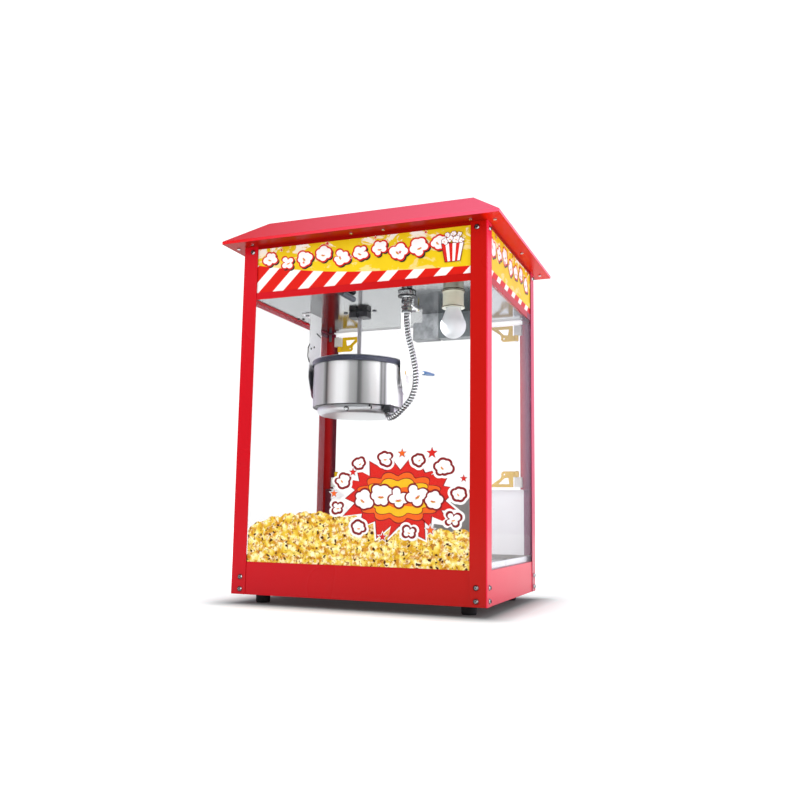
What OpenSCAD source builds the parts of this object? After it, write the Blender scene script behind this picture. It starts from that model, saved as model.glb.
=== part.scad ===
// Countertop popcorn maker: glazed sheet-metal cabinet, hip roof, tilting kettle with a stirrer
// hung from a polished ceiling, two rear doors and a crumb drawer.
// Millimetres. +X to the right of the front, +Y towards the operator's side, +Z up.
// The origin is the centre of the footprint, on the surface that the feet stand on.

/* [Cabinet] */
// Width over the corner posts
body_w = 514; // [490:1:600]
// Depth over the corner posts
body_d = 384; // [376:1:460]
// Height of the rubber feet
foot_h = 18; // [12:1:26]
// Height of the base box
base_h = 62; // [56:1:90]
// Height from the base to the header rail
glass_h = 520; // [500:1:600]
// Height from the header rail's lower edge to the eave
header_h = 111; // [100:1:130]
// Height of the roof above the eave
roof_h = 59; // [45:1:80]
// Width of a post's leg on the front and rear
post_leg_w = 32; // [28:1:38]
// Width of a post's leg on the sides
post_leg_d = 30; // [26:1:36]
// Thickness of the painted sheet steel
sheet_t = 1.2; // [1:0.1:1.8]
// Height of the header rail's face
rail_h = 14; // [12:1:20]
// Height of the ceiling above the header rail's lower edge
ceiling_rise = 8; // [6:1:10]

/* [Roof] */
// Overhang of the eave at the sides
eave_over_x = 31; // [20:1:45]
// Overhang of the eave at the front and rear
eave_over_y = 35; // [20:1:45]
// Horizontal run of each slope
slope_run = 67.5; // [50:0.5:90]
// Height of the eave's upright hem
eave_hem = 6; // [4:0.5:10]

/* [Glazing] */
// Thickness of the glass panes
glass_t = 4; // [3:0.5:5]
// Thickness of the sign panels
sign_t = 3; // [2:0.5:4]
// Thickness of the printed film on the front pane
film_t = 0.25; // [0.2:0.05:0.3]
// Height of the stainless panel below the doors
rear_panel_h = 152; // [130:1:170]

/* [Doors] */
// Thickness of the acrylic doors
door_t = 3; // [2.5:0.5:3.5]
// Distance of a door's pivot from the post's leg
pivot_inset = 6.5; // [6.5:0.5:12]
// Depth of the pivot behind the cabinet's rear face
pivot_depth = 7; // [7:0.5:8]
// Radius of the hinge pins
hinge_pin_r = 2.5; // [2:0.1:2.8]
// Width of a yellow corner bracket
bracket_w = 56; // [50:1:64]
// Height of a yellow corner bracket
bracket_h = 35; // [34:1:42]

/* [Crumb drawer] */
// Width of the crumb drawer
drawer_w = 296; // [240:1:340]
// Height of the crumb drawer's tray
drawer_h = 33; // [28:1:36]

/* [Kettle] */
// Centre of the kettle to the right of the cabinet's centre
kettle_x = -82; // [-84:1:-78]
// Radius of the kettle's polished shell
kettle_r = 96; // [88:1:98]
// Height of the shell with its rim
kettle_h = 99; // [92:1:104]
// Distance from the ceiling down to the rim
kettle_drop = 112; // [106:1:124]
// Distance from the rim down to the pivot pins
pivot_drop = 26; // [24:1:30]
// Depth of the recessed pan under the shell
pan_h = 17; // [14:1:22]
// Radius of the pivot pins
pivot_r = 4; // [3.5:0.1:4.5]
// Radius of the stirrer's rod
rod_r = 4.5; // [4:0.1:5]
// Length of the blue grip
grip_l = 70; // [60:1:76]

/* [Lamp] */
// Lamp's place to the right of the centre
lamp_x = 163; // [150:1:170]
// Lamp's place behind the centre
lamp_y = -101; // [-112:1:-95]
// Radius of the ceramic socket
socket_r = 22; // [20:0.5:24]
// Height of the ceramic socket
socket_h = 34; // [30:1:38]
// Radius of the bulb's globe
bulb_r = 25; // [22:0.5:28]

/* [Hidden] */
$fn = 48;

// Colours
paint_red = [0.80, 0.09, 0.06];
stainless = [0.80, 0.81, 0.82];
dark_steel = [0.24, 0.25, 0.30];
black_plastic = [0.06, 0.06, 0.07];
clear_pane = [0.86, 0.93, 0.94, 0.25];
bracket_yellow = [0.93, 0.76, 0.05];
zinc = [0.66, 0.68, 0.70];

// Clearances
seat = 0.3;        // between pieces that are held but don't touch
run = 0.05;        // radial clearance of a turning fit
press = 0.02;      // radial clearance of a fixed fit
over = 1;          // how far a cut runs past the face that it opens

// Levels and half sizes of the cabinet
hw = body_w / 2;
hd = body_d / 2;
z_deck = foot_h + base_h;
z_rail = z_deck + glass_h;
z_ceiling = z_rail + ceiling_rise;
z_eave = z_rail + header_h;
z_roof = z_eave + roof_h;
skin_x = hw - sheet_t;          // outer face of base and header at the sides
skin_y = hd - sheet_t;          // outer face of base and header at front and rear
pane_in = 2 * sheet_t + seat;   // depth of a pane's outer face behind the posts' faces
pane_edge = 12;                 // distance of a pane's edge from the cabinet's corner
glass_top = z_ceiling - sheet_t - seat;

// Base
deck_flange = 24;
foot_inset = 46;
foot_r = 14;
tray_t = 1.2;
tray_lip = 12;
tray_in = pane_in + glass_t + 1.2;
perf_r = 4;
perf_pitch = 24;
perf_cols = 11;
perf_rows = 7;
runner_w = 8;
runner_h = 7.2;
drawer_z = foot_h + sheet_t + runner_h + seat;
drawer_wall = 1;
drawer_front_over = 10;
drawer_gap = 1.5;
drawer_depth = body_d - 44;
drawer_pull_w = 90;
drawer_pull_d = 13;

// Screws
screw_r = 2;
screw_hole_r = screw_r + 0.2;
head_r = 4.5;
head_h = 2.6;
socket_key_r = 1.7;
post_screw_in = 20;
post_screw_side_in = 16;
post_screw_z = [10, 33];
top_screw_drop = 11;
screw_len = 8;
eave_screw_r = 3.2;
eave_screw_h = 2;
eave_screw_in = 14;
eave_pair_x = 23;
eave_pair_gap = 67;

// Header
ceiling_flange = 12;
top_web = 6;
top_flange = 22;
sign_lap = 2;
sign_edge = 8;
sign_z0 = z_ceiling + sheet_t;
sign_z1 = z_eave - top_web + sign_lap;

// Doors and their hinges
panel_t = 1.2;
panel_hem = 9;
door_z0 = z_deck + rear_panel_h + 5;
door_z1 = z_rail - 3;
door_gap = 4;
pivot_x = hw - post_leg_w - pivot_inset;
pivot_y = hd - pivot_depth;
knuckle_r = 5;
wing_t = 3;
wing_y0 = pivot_y - wing_t / 2;
door_y0 = wing_y0 + wing_t;
pane_to_pivot = 8;
block_h = 22;
block_gap = 0.4;
block_wall = 2;
block_l = 12;
knob_r = 8;
knob_h = 15;
knob_in = 22;
knob_up = 20;

// Rear controls
switch_x = [100, 140, 180];
switch_z = z_rail + 58;
rocker_w = 12.4;
rocker_r = 10.8;
rocker_tilt = 9;
axle_r = 1;
axle_l = 0.9;
frame_w = 19;
frame_h = 27;
frame_proud = 2.5;
frame_body_t = 1.3;
frame_depth = 16;
frame_clear = 0.2;
gland_x = 50;
gland_bore_r = 4;
gland_r = 8;
gland_nut_r = 12;
gland_l = 26;
gland_proud = 15;

// Drive
coupling_w = 43;
coupling_d = 30;
coupling_h = 13;
coupling_z = z_ceiling - coupling_h - 1;
coupling_chamfer = 4;
tongue_t = 4;
tongue_clear = 0.2;
tongue_top = coupling_z + coupling_h - 4.5;
slot_top = tongue_top + 1;
shaft_r = 5;
shaft_hole_r = 8;
shaft_up = 30;
gearbox = [92, 70, 40];
motor_r = 30;
motor_h = 44;
motor_foot_x = 34;

// Lamp
bulb_l = 60;
bulb_neck_r = 14;
bulb_rim = 2;
socket_bore_h = 15;

// Boxes under the ceiling
box_x = [77, 182];
box_y = [62, 92];
box_h = 55;
box_t = 1.2;
term_x = 19;
term_neck_x = 40;
term_y = [60, 84];
term_low_h = 37;
term_base_t = 1.5;
term_corner_r = 5;
buffer_r = 6;
buffer_x = -38;
buffer_l = 58;

// Kettle, in its own levels
kettle_y = 0;
kt = z_ceiling - kettle_drop;   // top of the rim
kb = kt - kettle_h;             // lower edge of the shell
pz = kt - pivot_drop;           // pivot axis
shell_t = 1;
shell_turn = 12;
rim_h = 11;
rim_lip = 4.8;
rim_t = 3.4;
rim_in = 9;
pot_gap = 2.8;
pot_t = 1.2;
heater_t = 5;
heater_in = 8;
shell_top = kt - rim_lip - pot_t;
pan_r = kettle_r - 10;
pan_round = 11;
pan_t = 1.2;
ear_out = 7;                    // outer face of an ear beyond the shell
ear_t = 3;
ear_w = 24;
ear_z = [-30, 14];
hanger_gap = 3;
hanger_t = 2;
hanger_in = kettle_r + ear_out + hanger_gap;
hanger_w = 50;
hanger_tip_w = 24;
hanger_tail = 48;
hanger_flange = 22;
hanger_bolt_y = 16;
pin_head_r = 7;
pin_head_h = 3;
hub_gap = 4;
hub_r = 8;
hub_l = 18;
hub_bore = 8;
hub_x = hanger_in + hanger_t + hub_gap;
handle_out = hub_x + hub_l - 5;
handle_rod_r = 3;
handle_rod_l = 106;
handle_rise = 5.7;
handle_up = 2;
grip_r = 4.8;
grip_end_r = 3;
grip_cap = 25;

// Lid
bridge_w = 24;
bridge_t = 2;
boss_r = 9;
boss_h = 10;
lug_t = 3;
lug_x = [25, 70];
lid_axis_y = bridge_w / 2 + 3.5;
lid_axis_up = 3.5;
lid_rod_r = 1.5;
lid_rod_l = 150;
lid_t = 1.2;
lid_r = kettle_r + 1;
tab_w = 16;
tab_x = [0, 47];

// Stirrer
stirrer_floor = 1.3;
stir_hub_r = 9;
stir_hub_h = 14;
blade_l = kettle_r - 12;
blade_h = 8;
blade_t = 3;
beater_z = 34;
beater_l = 54;
beater_r = 2;

// Conduit hose from the ceiling to the kettle
gland_pos = [kettle_x + kettle_r + 56, kettle_y - 111];
hose_r = 5.5;
hose_flange_r = 17;
hose_flange_h = 4;
hose_body_r = 8.5;
hose_body_l = 38;
hose_nut_r = 11;
hose_nut_h = 7;
hose_hole_r = 9;
hose_sides = 10;
hose_steps = 4;
stub_r = 6.5;
stub_l = 16;
term_box = [16, 20, 15];
term_mid = [kettle_r - 10, -37];        // from the kettle's centre
hose_drop = [                           // from the gland, under the ceiling
    [0, 0, -hose_body_l], [0, 0, -56], [3, 3, -86], [9, 9, -116], [13, 15, -144], [13, 20, -170]
];
hose_sweep = [                          // from the kettle's right-hand side, at its lower edge
    [65, -88, 21], [56, -85, 3], [38, -80, -14], [19, -72, -26], [2, -62, -29], [-6, -50, -21]
];
hose_route = concat(
    [for (p = hose_drop) p + [gland_pos[0], gland_pos[1], z_ceiling]],
    [for (p = hose_sweep) p + [kettle_x + kettle_r, kettle_y, kb]]
);

// ---------------------------------------------------------------- helpers

// Box between two corners
module block(lo, hi) translate(lo) cube(hi - lo);

// Rectangular ring: outer half sizes, inner half sizes, two levels
module ring(ox, oy, ix, iy, z0, z1)
    difference() {
        block([-ox, -oy, z0], [ox, oy, z1]);
        block([-ix, -iy, z0 - over], [ix, iy, z1 + over]);
    }

// Puts what is drawn for the front left corner at another corner
module at_corner(right, rear)
    mirror([right ? 1 : 0, 0, 0]) mirror([0, rear ? 1 : 0, 0]) children();

module all_corners()
    for (right = [false, true], rear = [false, true]) at_corner(right, rear) children();

// Draws for the right-hand side and mirrors it for the left
module both_sides() for (left = [0, 1]) mirror([left, 0, 0]) children();

// Moves to the kettle's axis, where its rim, shell and pivot are drawn
module at_kettle() translate([kettle_x, kettle_y, 0]) children();

// Turns an upright cylinder to lie along +X or +Y
module along_x() rotate([0, 90, 0]) children();
module along_y() rotate([-90, 0, 0]) children();

// Socket button-head screw, its head's seat at z = 0 and its shank below
module button_screw(length)
    difference() {
        union() {
            cylinder(h = head_h, r1 = head_r, r2 = head_r * 0.62);
            translate([0, 0, -length]) cylinder(h = length + 0.2, r = screw_r);
        }
        translate([0, 0, head_h * 0.4]) cylinder(h = head_h, r = socket_key_r, $fn = 6);
    }

// Every place where a post is screwed on, for the front left post:
// the two on the base and the one on the header, on both legs
module post_screw_places() {
    for (z = [foot_h + post_screw_z[0], foot_h + post_screw_z[1], z_eave - top_screw_drop]) {
        translate([-hw + post_screw_in, -hd, z]) rotate([90, 0, 0]) children();
        translate([-hw, -hd + post_screw_side_in, z]) rotate([0, -90, 0]) children();
    }
}

module post_screw_holes()
    all_corners() post_screw_places()
        translate([0, 0, -screw_len]) cylinder(h = screw_len + over, r = screw_hole_r);

// ---------------------------------------------------------------- base

module base_skirt()
    color(paint_red) {
        difference() {
            block([-skin_x, -skin_y, foot_h], [skin_x, skin_y, z_deck]);
            block([-skin_x + sheet_t, -skin_y + sheet_t, foot_h + sheet_t],
                  [skin_x - sheet_t, skin_y - sheet_t, z_deck - sheet_t]);
            block([-skin_x + deck_flange, -skin_y + deck_flange, z_deck - sheet_t - over],
                  [skin_x - deck_flange, skin_y - deck_flange, z_deck + over]);
            block([-drawer_w / 2 - drawer_gap, skin_y - sheet_t - over, drawer_z - drawer_gap],
                  [drawer_w / 2 + drawer_gap, skin_y + over, drawer_z + drawer_h + drawer_gap]);
            post_screw_holes();
        }
        both_sides()
            block([drawer_w / 2 - runner_w - 4, -skin_y + 2 * sheet_t, foot_h + sheet_t],
                  [drawer_w / 2 - 4, skin_y - 2 * sheet_t, foot_h + sheet_t + runner_h]);
    }

module feet()
    color(black_plastic)
        all_corners() translate([-hw + foot_inset, -hd + foot_inset, 0]) {
            cylinder(h = 3, r1 = foot_r - 1.5, r2 = foot_r);
            translate([0, 0, 3]) cylinder(h = foot_h - 3, r = foot_r);
        }

// Stainless floor with upturned lips and holes that let crumbs fall into the drawer
module floor_tray()
    color(stainless)
        difference() {
            block([-hw + tray_in, -hd + tray_in, z_deck], [hw - tray_in, hd - tray_in, z_deck + tray_lip]);
            block([-hw + tray_in + tray_t, -hd + tray_in + tray_t, z_deck + tray_t],
                  [hw - tray_in - tray_t, hd - tray_in - tray_t, z_deck + tray_lip + over]);
            for (i = [0 : perf_cols - 1], j = [0 : perf_rows - 1])
                translate([(i - (perf_cols - 1) / 2) * perf_pitch, (j - (perf_rows - 1) / 2) * perf_pitch,
                           z_deck - over])
                    cylinder(h = tray_t + 2 * over, r = perf_r, $fn = 24);
        }

module crumb_drawer() {
    front_y = skin_y + seat;
    color(stainless) {
        difference() {
            block([-drawer_w / 2, front_y - drawer_depth, drawer_z],
                  [drawer_w / 2, front_y, drawer_z + drawer_h]);
            block([-drawer_w / 2 + drawer_wall, front_y - drawer_depth + drawer_wall, drawer_z + drawer_wall],
                  [drawer_w / 2 - drawer_wall, front_y - drawer_wall, drawer_z + drawer_h + over]);
        }
        block([-drawer_w / 2 - drawer_front_over, front_y, drawer_z - 4],
              [drawer_w / 2 + drawer_front_over, front_y + sheet_t, drawer_z + drawer_h + 6]);
        // folded pull, open below for the fingers
        block([-drawer_pull_w / 2, front_y + sheet_t, drawer_z + drawer_h - 4],
              [drawer_pull_w / 2, front_y + sheet_t + drawer_pull_d, drawer_z + drawer_h - 4 + sheet_t]);
        block([-drawer_pull_w / 2, front_y + drawer_pull_d, drawer_z + drawer_h - 14],
              [drawer_pull_w / 2, front_y + sheet_t + drawer_pull_d, drawer_z + drawer_h - 4]);
    }
}

// ---------------------------------------------------------------- frame

// Folded angle with a rounded outer corner
module post_profile() {
    bend = 2 * sheet_t;
    difference() {
        union() {
            translate([-hw, -hd + bend]) square([sheet_t, post_leg_d - bend]);
            translate([-hw + bend, -hd]) square([post_leg_w - bend, sheet_t]);
            translate([-hw + bend, -hd + bend]) circle(r = bend);
        }
        translate([-hw + sheet_t, -hd + sheet_t]) square([post_leg_w, post_leg_d]);
    }
}

module post(right, rear)
    color(paint_red) at_corner(right, rear)
        difference() {
            translate([0, 0, foot_h]) linear_extrude(z_eave - foot_h) post_profile();
            post_screw_places() translate([0, 0, -screw_len]) cylinder(h = screw_len + over, r = screw_hole_r);
        }

module header_rail()
    color(paint_red) {
        ring(skin_x, skin_y, skin_x - sheet_t, skin_y - sheet_t, z_rail, z_rail + rail_h);
        ring(skin_x - sheet_t, skin_y - sheet_t, skin_x - ceiling_flange, skin_y - ceiling_flange,
             z_ceiling - sheet_t, z_ceiling);
    }

module header_top()
    color(paint_red)
        difference() {
            union() {
                ring(skin_x, skin_y, skin_x - sheet_t, skin_y - sheet_t, z_eave - top_web, z_eave);
                ring(skin_x - sheet_t, skin_y - sheet_t, skin_x - top_flange, skin_y - top_flange,
                     z_eave - sheet_t, z_eave);
            }
            post_screw_holes();
        }

module ceiling_plate()
    color(stainless)
        difference() {
            block([-skin_x + sheet_t + seat, -skin_y + sheet_t + seat, z_ceiling],
                  [skin_x - sheet_t - seat, skin_y - sheet_t - seat, z_ceiling + sheet_t]);
            translate([kettle_x, kettle_y, z_ceiling - over]) cylinder(h = 3 * over + sheet_t, r = shaft_hole_r);
            translate([gland_pos[0], gland_pos[1], z_ceiling - over])
                cylinder(h = 3 * over + sheet_t, r = hose_hole_r);
            translate([lamp_x, lamp_y, z_ceiling - over]) cylinder(h = 3 * over + sheet_t, r = 5);
        }

// Hip-roof outline: two crossed extrusions, one for each pair of slopes
module hip(inset, drop) {
    ex = hw + eave_over_x - inset;
    ey = hd + eave_over_y - inset;
    z0 = z_eave - (drop > 0 ? over : 0);
    z1 = z_eave + eave_hem - drop;
    z2 = z_roof - drop;
    run_in = slope_run;
    intersection() {
        translate([0, ey, 0]) rotate([90, 0, 0])
            linear_extrude(2 * ey)
                polygon([[-ex, z0], [ex, z0], [ex, z1], [ex - run_in, z2], [run_in - ex, z2], [-ex, z1]]);
        translate([-ex, 0, 0]) rotate([90, 0, 90])
            linear_extrude(2 * ex)
                polygon([[-ey, z0], [ey, z0], [ey, z1], [ey - run_in, z2], [run_in - ey, z2], [-ey, z1]]);
    }
}

module roof()
    color(paint_red) {
        difference() {
            hip(0, 0);
            hip(sheet_t, sheet_t);
        }
        ring(hw + eave_over_x - sheet_t, hd + eave_over_y - sheet_t, skin_x - top_flange, skin_y - top_flange,
             z_eave, z_eave + sheet_t);
    }

module cabinet_screws()
    color(zinc) all_corners() post_screw_places() button_screw(screw_len);

// Screws under the overhang: along the front and rear, and along both sides
module roof_screws()
    color(zinc) {
        for (s = [-1, 1]) {
            y = s * (hd + eave_screw_in);
            for (x = [-hw + 28, eave_pair_x - eave_pair_gap / 2, eave_pair_x + eave_pair_gap / 2, hw - 28])
                translate([x, y, z_eave - eave_screw_h]) cylinder(h = eave_screw_h, r = eave_screw_r, $fn = 24);
            for (y2 = [-hd, 20, hd])
                translate([s * (hw + eave_screw_in), y2, z_eave - eave_screw_h])
                    cylinder(h = eave_screw_h, r = eave_screw_r, $fn = 24);
        }
    }

module ceiling_screws()
    color(zinc) {
        for (s = [-1, 1]) {
            translate([kettle_x + s * motor_foot_x, kettle_y, z_ceiling - eave_screw_h])
                cylinder(h = eave_screw_h, r = head_r, $fn = 24);
            for (y = [-hanger_bolt_y, hanger_bolt_y])
                translate([kettle_x + s * (hanger_in + hanger_flange / 2 + 2), kettle_y + y,
                           z_ceiling - hanger_t - head_h])
                    cylinder(h = head_h, r = head_r, $fn = 24);
        }
    }

// ---------------------------------------------------------------- glazing and signs

module front_glass()
    color(clear_pane)
        block([-hw + pane_edge, -hd + pane_in, z_deck], [hw - pane_edge, -hd + pane_in + glass_t, glass_top]);

module side_glass(left)
    color(clear_pane) mirror([left ? 1 : 0, 0, 0])
        block([hw - pane_in - glass_t, -hd + pane_edge, z_deck], [hw - pane_in, hd - pane_edge, glass_top]);

// Outline of the printed film: a heap with a wavy top edge and a starburst above it
film_x = hw - post_leg_w - 0.5;
heap_mid = 0.158 * glass_h;
heap_wave = 0.027 * glass_h;
heap_fall = 0.035 * glass_h;
heap_lumps = 13;
heap_bump = 5;
heap_ripple = 2.5;
heap_sink = 4;
heap_steps = 104;
burst_x = 87;
burst_up = 129;
burst_w = 133;
burst_h = 78;
burst_tips = 17;
burst_inner = 0.78;

// Height of the heap's edge, u from 0 at the left to 1 at the right
function heap_top(u) = z_deck + heap_mid + heap_wave * sin(u * 300 - 3) - heap_fall * exp(-12 * u)
    + heap_bump * abs(sin(u * 180 * heap_lumps)) + heap_ripple * abs(sin(u * 180 * heap_lumps * 2.3 + 40)) - heap_sink;

module front_film()
    color([0.96, 0.86, 0.52])
        translate([0, -hd + pane_in, 0]) rotate([90, 0, 0]) linear_extrude(film_t)
            union() {
                polygon(concat([[-film_x, z_deck], [film_x, z_deck]],
                    [for (i = [heap_steps : -1 : 0])
                        [-film_x + 2 * film_x * i / heap_steps, heap_top(i / heap_steps)]]));
                polygon([for (i = [0 : 2 * burst_tips - 1])
                    let (a = i * 180 / burst_tips, k = i % 2 == 0 ? 1 : burst_inner)
                    [burst_x + burst_w * k * cos(a), z_deck + burst_up + burst_h * k * sin(a)]]);
            }

module front_sign()
    color([0.95, 0.78, 0.10])
        difference() {
            block([-hw + sign_edge, -hd + 2 * sheet_t, sign_z0],
                  [hw - sign_edge, -hd + 2 * sheet_t + sign_t, sign_z1]);
            post_screw_holes();
        }

module side_sign(left)
    color([0.95, 0.78, 0.10])
        difference() {
            mirror([left ? 1 : 0, 0, 0])
                block([hw - 2 * sheet_t - sign_t, -hd + sign_edge + 1, sign_z0],
                      [hw - 2 * sheet_t, hd - sign_edge - 1, sign_z1]);
            post_screw_holes();
        }

// Red panel at the rear of the header, with the switches and the mains gland
module control_panel()
    color(paint_red)
        difference() {
            block([-hw + sign_edge, hd - 2 * sheet_t - sheet_t, sign_z0], [hw - sign_edge, hd - 2 * sheet_t, sign_z1]);
            for (x = switch_x) translate([x, hd, switch_z])
                cube([rocker_w + 2 * frame_clear + 2 * frame_body_t + 0.4, 40,
                      2 * rocker_r + 2 * frame_clear + 2 * frame_body_t + 0.4], center = true);
            translate([gland_x, hd - 20, switch_z]) along_y() cylinder(h = 40, r = gland_r + press);
            post_screw_holes();
        }

// ---------------------------------------------------------------- rear

module rear_panel()
    color(stainless) {
        block([-hw + sign_edge, skin_y - panel_t, z_deck], [hw - sign_edge, skin_y, z_deck + rear_panel_h]);
        block([-hw + sign_edge + 6, skin_y - panel_hem, z_deck + rear_panel_h - panel_t],
              [hw - sign_edge - 6, skin_y - panel_t, z_deck + rear_panel_h]);
    }

// The four hinges mirror each other left and right, and up and down about the doors' middle
door_mid = (door_z0 + door_z1) / 2;
module upper_and_lower()
    for (low = [0, 1]) translate([0, 0, door_mid]) mirror([0, 0, low]) translate([0, 0, -door_mid]) children();

module hinge_blocks()
    color([0.92, 0.92, 0.90])
        both_sides() upper_and_lower()
            difference() {
                block([pivot_x - hinge_pin_r - block_wall, pivot_y - hinge_pin_r - block_wall, door_z1 - block_h],
                      [pivot_x + block_l, skin_y, door_z1]);
                translate([pivot_x, pivot_y, door_z1 - block_h - over])
                    cylinder(h = block_h + 2 * over, r = hinge_pin_r + press);
            }

module hinge_pins()
    color(zinc)
        both_sides() upper_and_lower()
            translate([pivot_x, pivot_y, door_z1 - bracket_h - 1]) cylinder(h = bracket_h + 1, r = hinge_pin_r);

module door(left)
    color(clear_pane) mirror([left ? 1 : 0, 0, 0]) {
        block([door_gap / 2, door_y0, door_z0], [pivot_x - pane_to_pivot, door_y0 + door_t, door_z1]);
        translate([knob_in, door_y0 + door_t, door_z0 + knob_up]) along_y() {
            cylinder(h = knob_h * 0.5, r = knob_r * 0.6);
            translate([0, 0, knob_h * 0.5]) cylinder(h = knob_h * 0.5, r1 = knob_r, r2 = knob_r * 0.85);
        }
    }

// Yellow corner bracket: a wing with a window and an eyelet, and the knuckle that turns on the pin
module wing_outline() {
    w = bracket_w;
    h = bracket_h;
    difference() {
        union() {
            polygon([[-w, 0], [-pane_to_pivot, 0], [-pane_to_pivot, -h], [-0.52 * w, -h], [-0.66 * w, -0.55 * h],
                     [-w, -0.16 * h]]);
            translate([-0.50 * w, -0.80 * h]) circle(r = 0.2 * h);
        }
        polygon([[-0.74 * w, -0.2 * h], [-0.30 * w, -0.2 * h], [-0.34 * w, -0.60 * h], [-0.50 * w, -0.56 * h]]);
        translate([-0.50 * w, -0.80 * h]) circle(r = 1.8, $fn = 24);
    }
}

module door_brackets(left)
    color(bracket_yellow) mirror([left ? 1 : 0, 0, 0]) upper_and_lower()
        difference() {
            union() {
                translate([pivot_x, wing_y0 + wing_t, door_z1]) rotate([90, 0, 0])
                    linear_extrude(wing_t) wing_outline();
                block([pivot_x - pane_to_pivot, wing_y0, door_z1 - bracket_h],
                      [pivot_x, wing_y0 + wing_t, door_z1 - block_h - block_gap]);
                translate([pivot_x, pivot_y, door_z1 - bracket_h])
                    cylinder(h = bracket_h - block_h - block_gap, r = knuckle_r);
            }
            translate([pivot_x, pivot_y, door_z1 - bracket_h - over])
                cylinder(h = bracket_h, r = hinge_pin_r + run);
        }

// ---------------------------------------------------------------- controls

rocker_y = hd - 2 * sheet_t - rocker_r + frame_proud + 1.5;

module switch_frames()
    color(black_plastic)
        for (x = switch_x) translate([x, hd - 2 * sheet_t, switch_z])
            difference() {
                inner_w = rocker_w + 2 * frame_clear;
                inner_h = 2 * rocker_r + 2 * frame_clear;
                union() {
                    block([-frame_w / 2, 0, -frame_h / 2], [frame_w / 2, frame_proud, frame_h / 2]);
                    block([-inner_w / 2 - frame_body_t, -frame_depth, -inner_h / 2 - frame_body_t],
                          [inner_w / 2 + frame_body_t, 0, inner_h / 2 + frame_body_t]);
                }
                block([-inner_w / 2, -frame_depth + frame_body_t, -inner_h / 2],
                      [inner_w / 2, frame_proud + over, inner_h / 2]);
                translate([-frame_w, rocker_y - (hd - 2 * sheet_t), 0]) along_x()
                    cylinder(h = 2 * frame_w, r = axle_r + run, $fn = 24);
            }

// Rocker with a shallow V across its face, on two stub axles, shown switched off
module rocker(x)
    translate([x, rocker_y, switch_z]) rotate([-rocker_tilt, 0, 0]) {
        intersection() {
            translate([-rocker_w / 2, 0, 0]) along_x() cylinder(h = rocker_w, r = rocker_r);
            translate([-rocker_w / 2, 0, 0]) rotate([90, 0, 90]) linear_extrude(rocker_w)
                polygon([[-3, -6], [-3, 6], [rocker_r - 2.5, rocker_r], [rocker_r - 4, 0], [rocker_r - 2.5, -rocker_r]]);
        }
        translate([-rocker_w / 2 - axle_l, 0, 0]) along_x()
            cylinder(h = rocker_w + 2 * axle_l, r = axle_r, $fn = 24);
    }

module cable_gland()
    color(black_plastic)
        translate([gland_x, hd - 2 * sheet_t, switch_z]) along_y()
            difference() {
                union() {
                    translate([0, 0, gland_proud - gland_l]) cylinder(h = gland_l, r = gland_r);
                    cylinder(h = 5, r = gland_nut_r, $fn = 6);
                    translate([0, 0, 5]) cylinder(h = gland_proud - 5, r1 = gland_nut_r - 1.5, r2 = gland_r);
                    translate([0, 0, -sheet_t - 4]) cylinder(h = 4, r = gland_nut_r, $fn = 6);
                }
                translate([0, 0, gland_proud - gland_l - over]) cylinder(h = gland_l + 2 * over, r = gland_bore_r);
            }

// ---------------------------------------------------------------- ceiling equipment

module gear_motor()
    color([0.45, 0.46, 0.48])
        translate([kettle_x, kettle_y, z_ceiling + sheet_t])
            difference() {
                union() {
                    translate([-gearbox[0] / 2, -gearbox[1] / 2, 0]) cube(gearbox);
                    translate([0, 0, gearbox[2]]) cylinder(h = motor_h, r = motor_r);
                    translate([0, 0, gearbox[2] + motor_h]) cylinder(h = 4, r1 = motor_r, r2 = motor_r - 5);
                }
                translate([0, 0, -over]) cylinder(h = shaft_up + over, r = shaft_r + run);
            }

// Black block with a slot across it for the stirrer's tongue, on the motor's output shaft
module drive_coupling()
    color(black_plastic)
        translate([kettle_x, kettle_y, 0]) {
            difference() {
                c = coupling_chamfer;
                x = coupling_w / 2;
                y = coupling_d / 2;
                translate([0, 0, coupling_z]) linear_extrude(coupling_h)
                    polygon([[-x + c, -y], [x - c, -y], [x, -y + c], [x, y - c], [x - c, y], [-x + c, y],
                             [-x, y - c], [-x, -y + c]]);
                block([-tongue_t / 2 - tongue_clear, -coupling_d, coupling_z - over],
                      [tongue_t / 2 + tongue_clear, coupling_d, slot_top]);
            }
            translate([0, 0, coupling_z + coupling_h])
                cylinder(h = z_ceiling + sheet_t + shaft_up - 3 - coupling_z - coupling_h, r = shaft_r);
        }

module lamp_socket()
    color([0.90, 0.87, 0.78])
        translate([lamp_x, lamp_y, z_ceiling - socket_h])
            difference() {
                union() {
                    cylinder(h = socket_h - 6, r = socket_r - 1.5);
                    translate([0, 0, 0]) cylinder(h = 3, r = socket_r);
                    translate([0, 0, socket_h - 6]) cylinder(h = 6, r1 = socket_r - 1.5, r2 = socket_r);
                }
                translate([0, 0, -over]) cylinder(h = socket_bore_h + over, r = bulb_neck_r + 1);
            }

module lamp_bulb()
    color([0.93, 0.93, 0.91])
        translate([lamp_x, lamp_y, z_ceiling - socket_h]) {
            globe_z = bulb_r - bulb_l;
            // the neck leaves the globe along its tangent, half way up
            lean = 30;
            translate([0, 0, globe_z]) sphere(r = bulb_r, $fn = 64);
            translate([0, 0, globe_z + bulb_r * sin(lean)])
                cylinder(h = -globe_z - bulb_r * sin(lean) - bulb_rim, r1 = bulb_r * cos(lean), r2 = bulb_neck_r);
            translate([0, 0, -bulb_rim]) cylinder(h = bulb_rim, r = bulb_neck_r);
            cylinder(h = socket_bore_h, r = bulb_neck_r - 1);
        }

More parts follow.
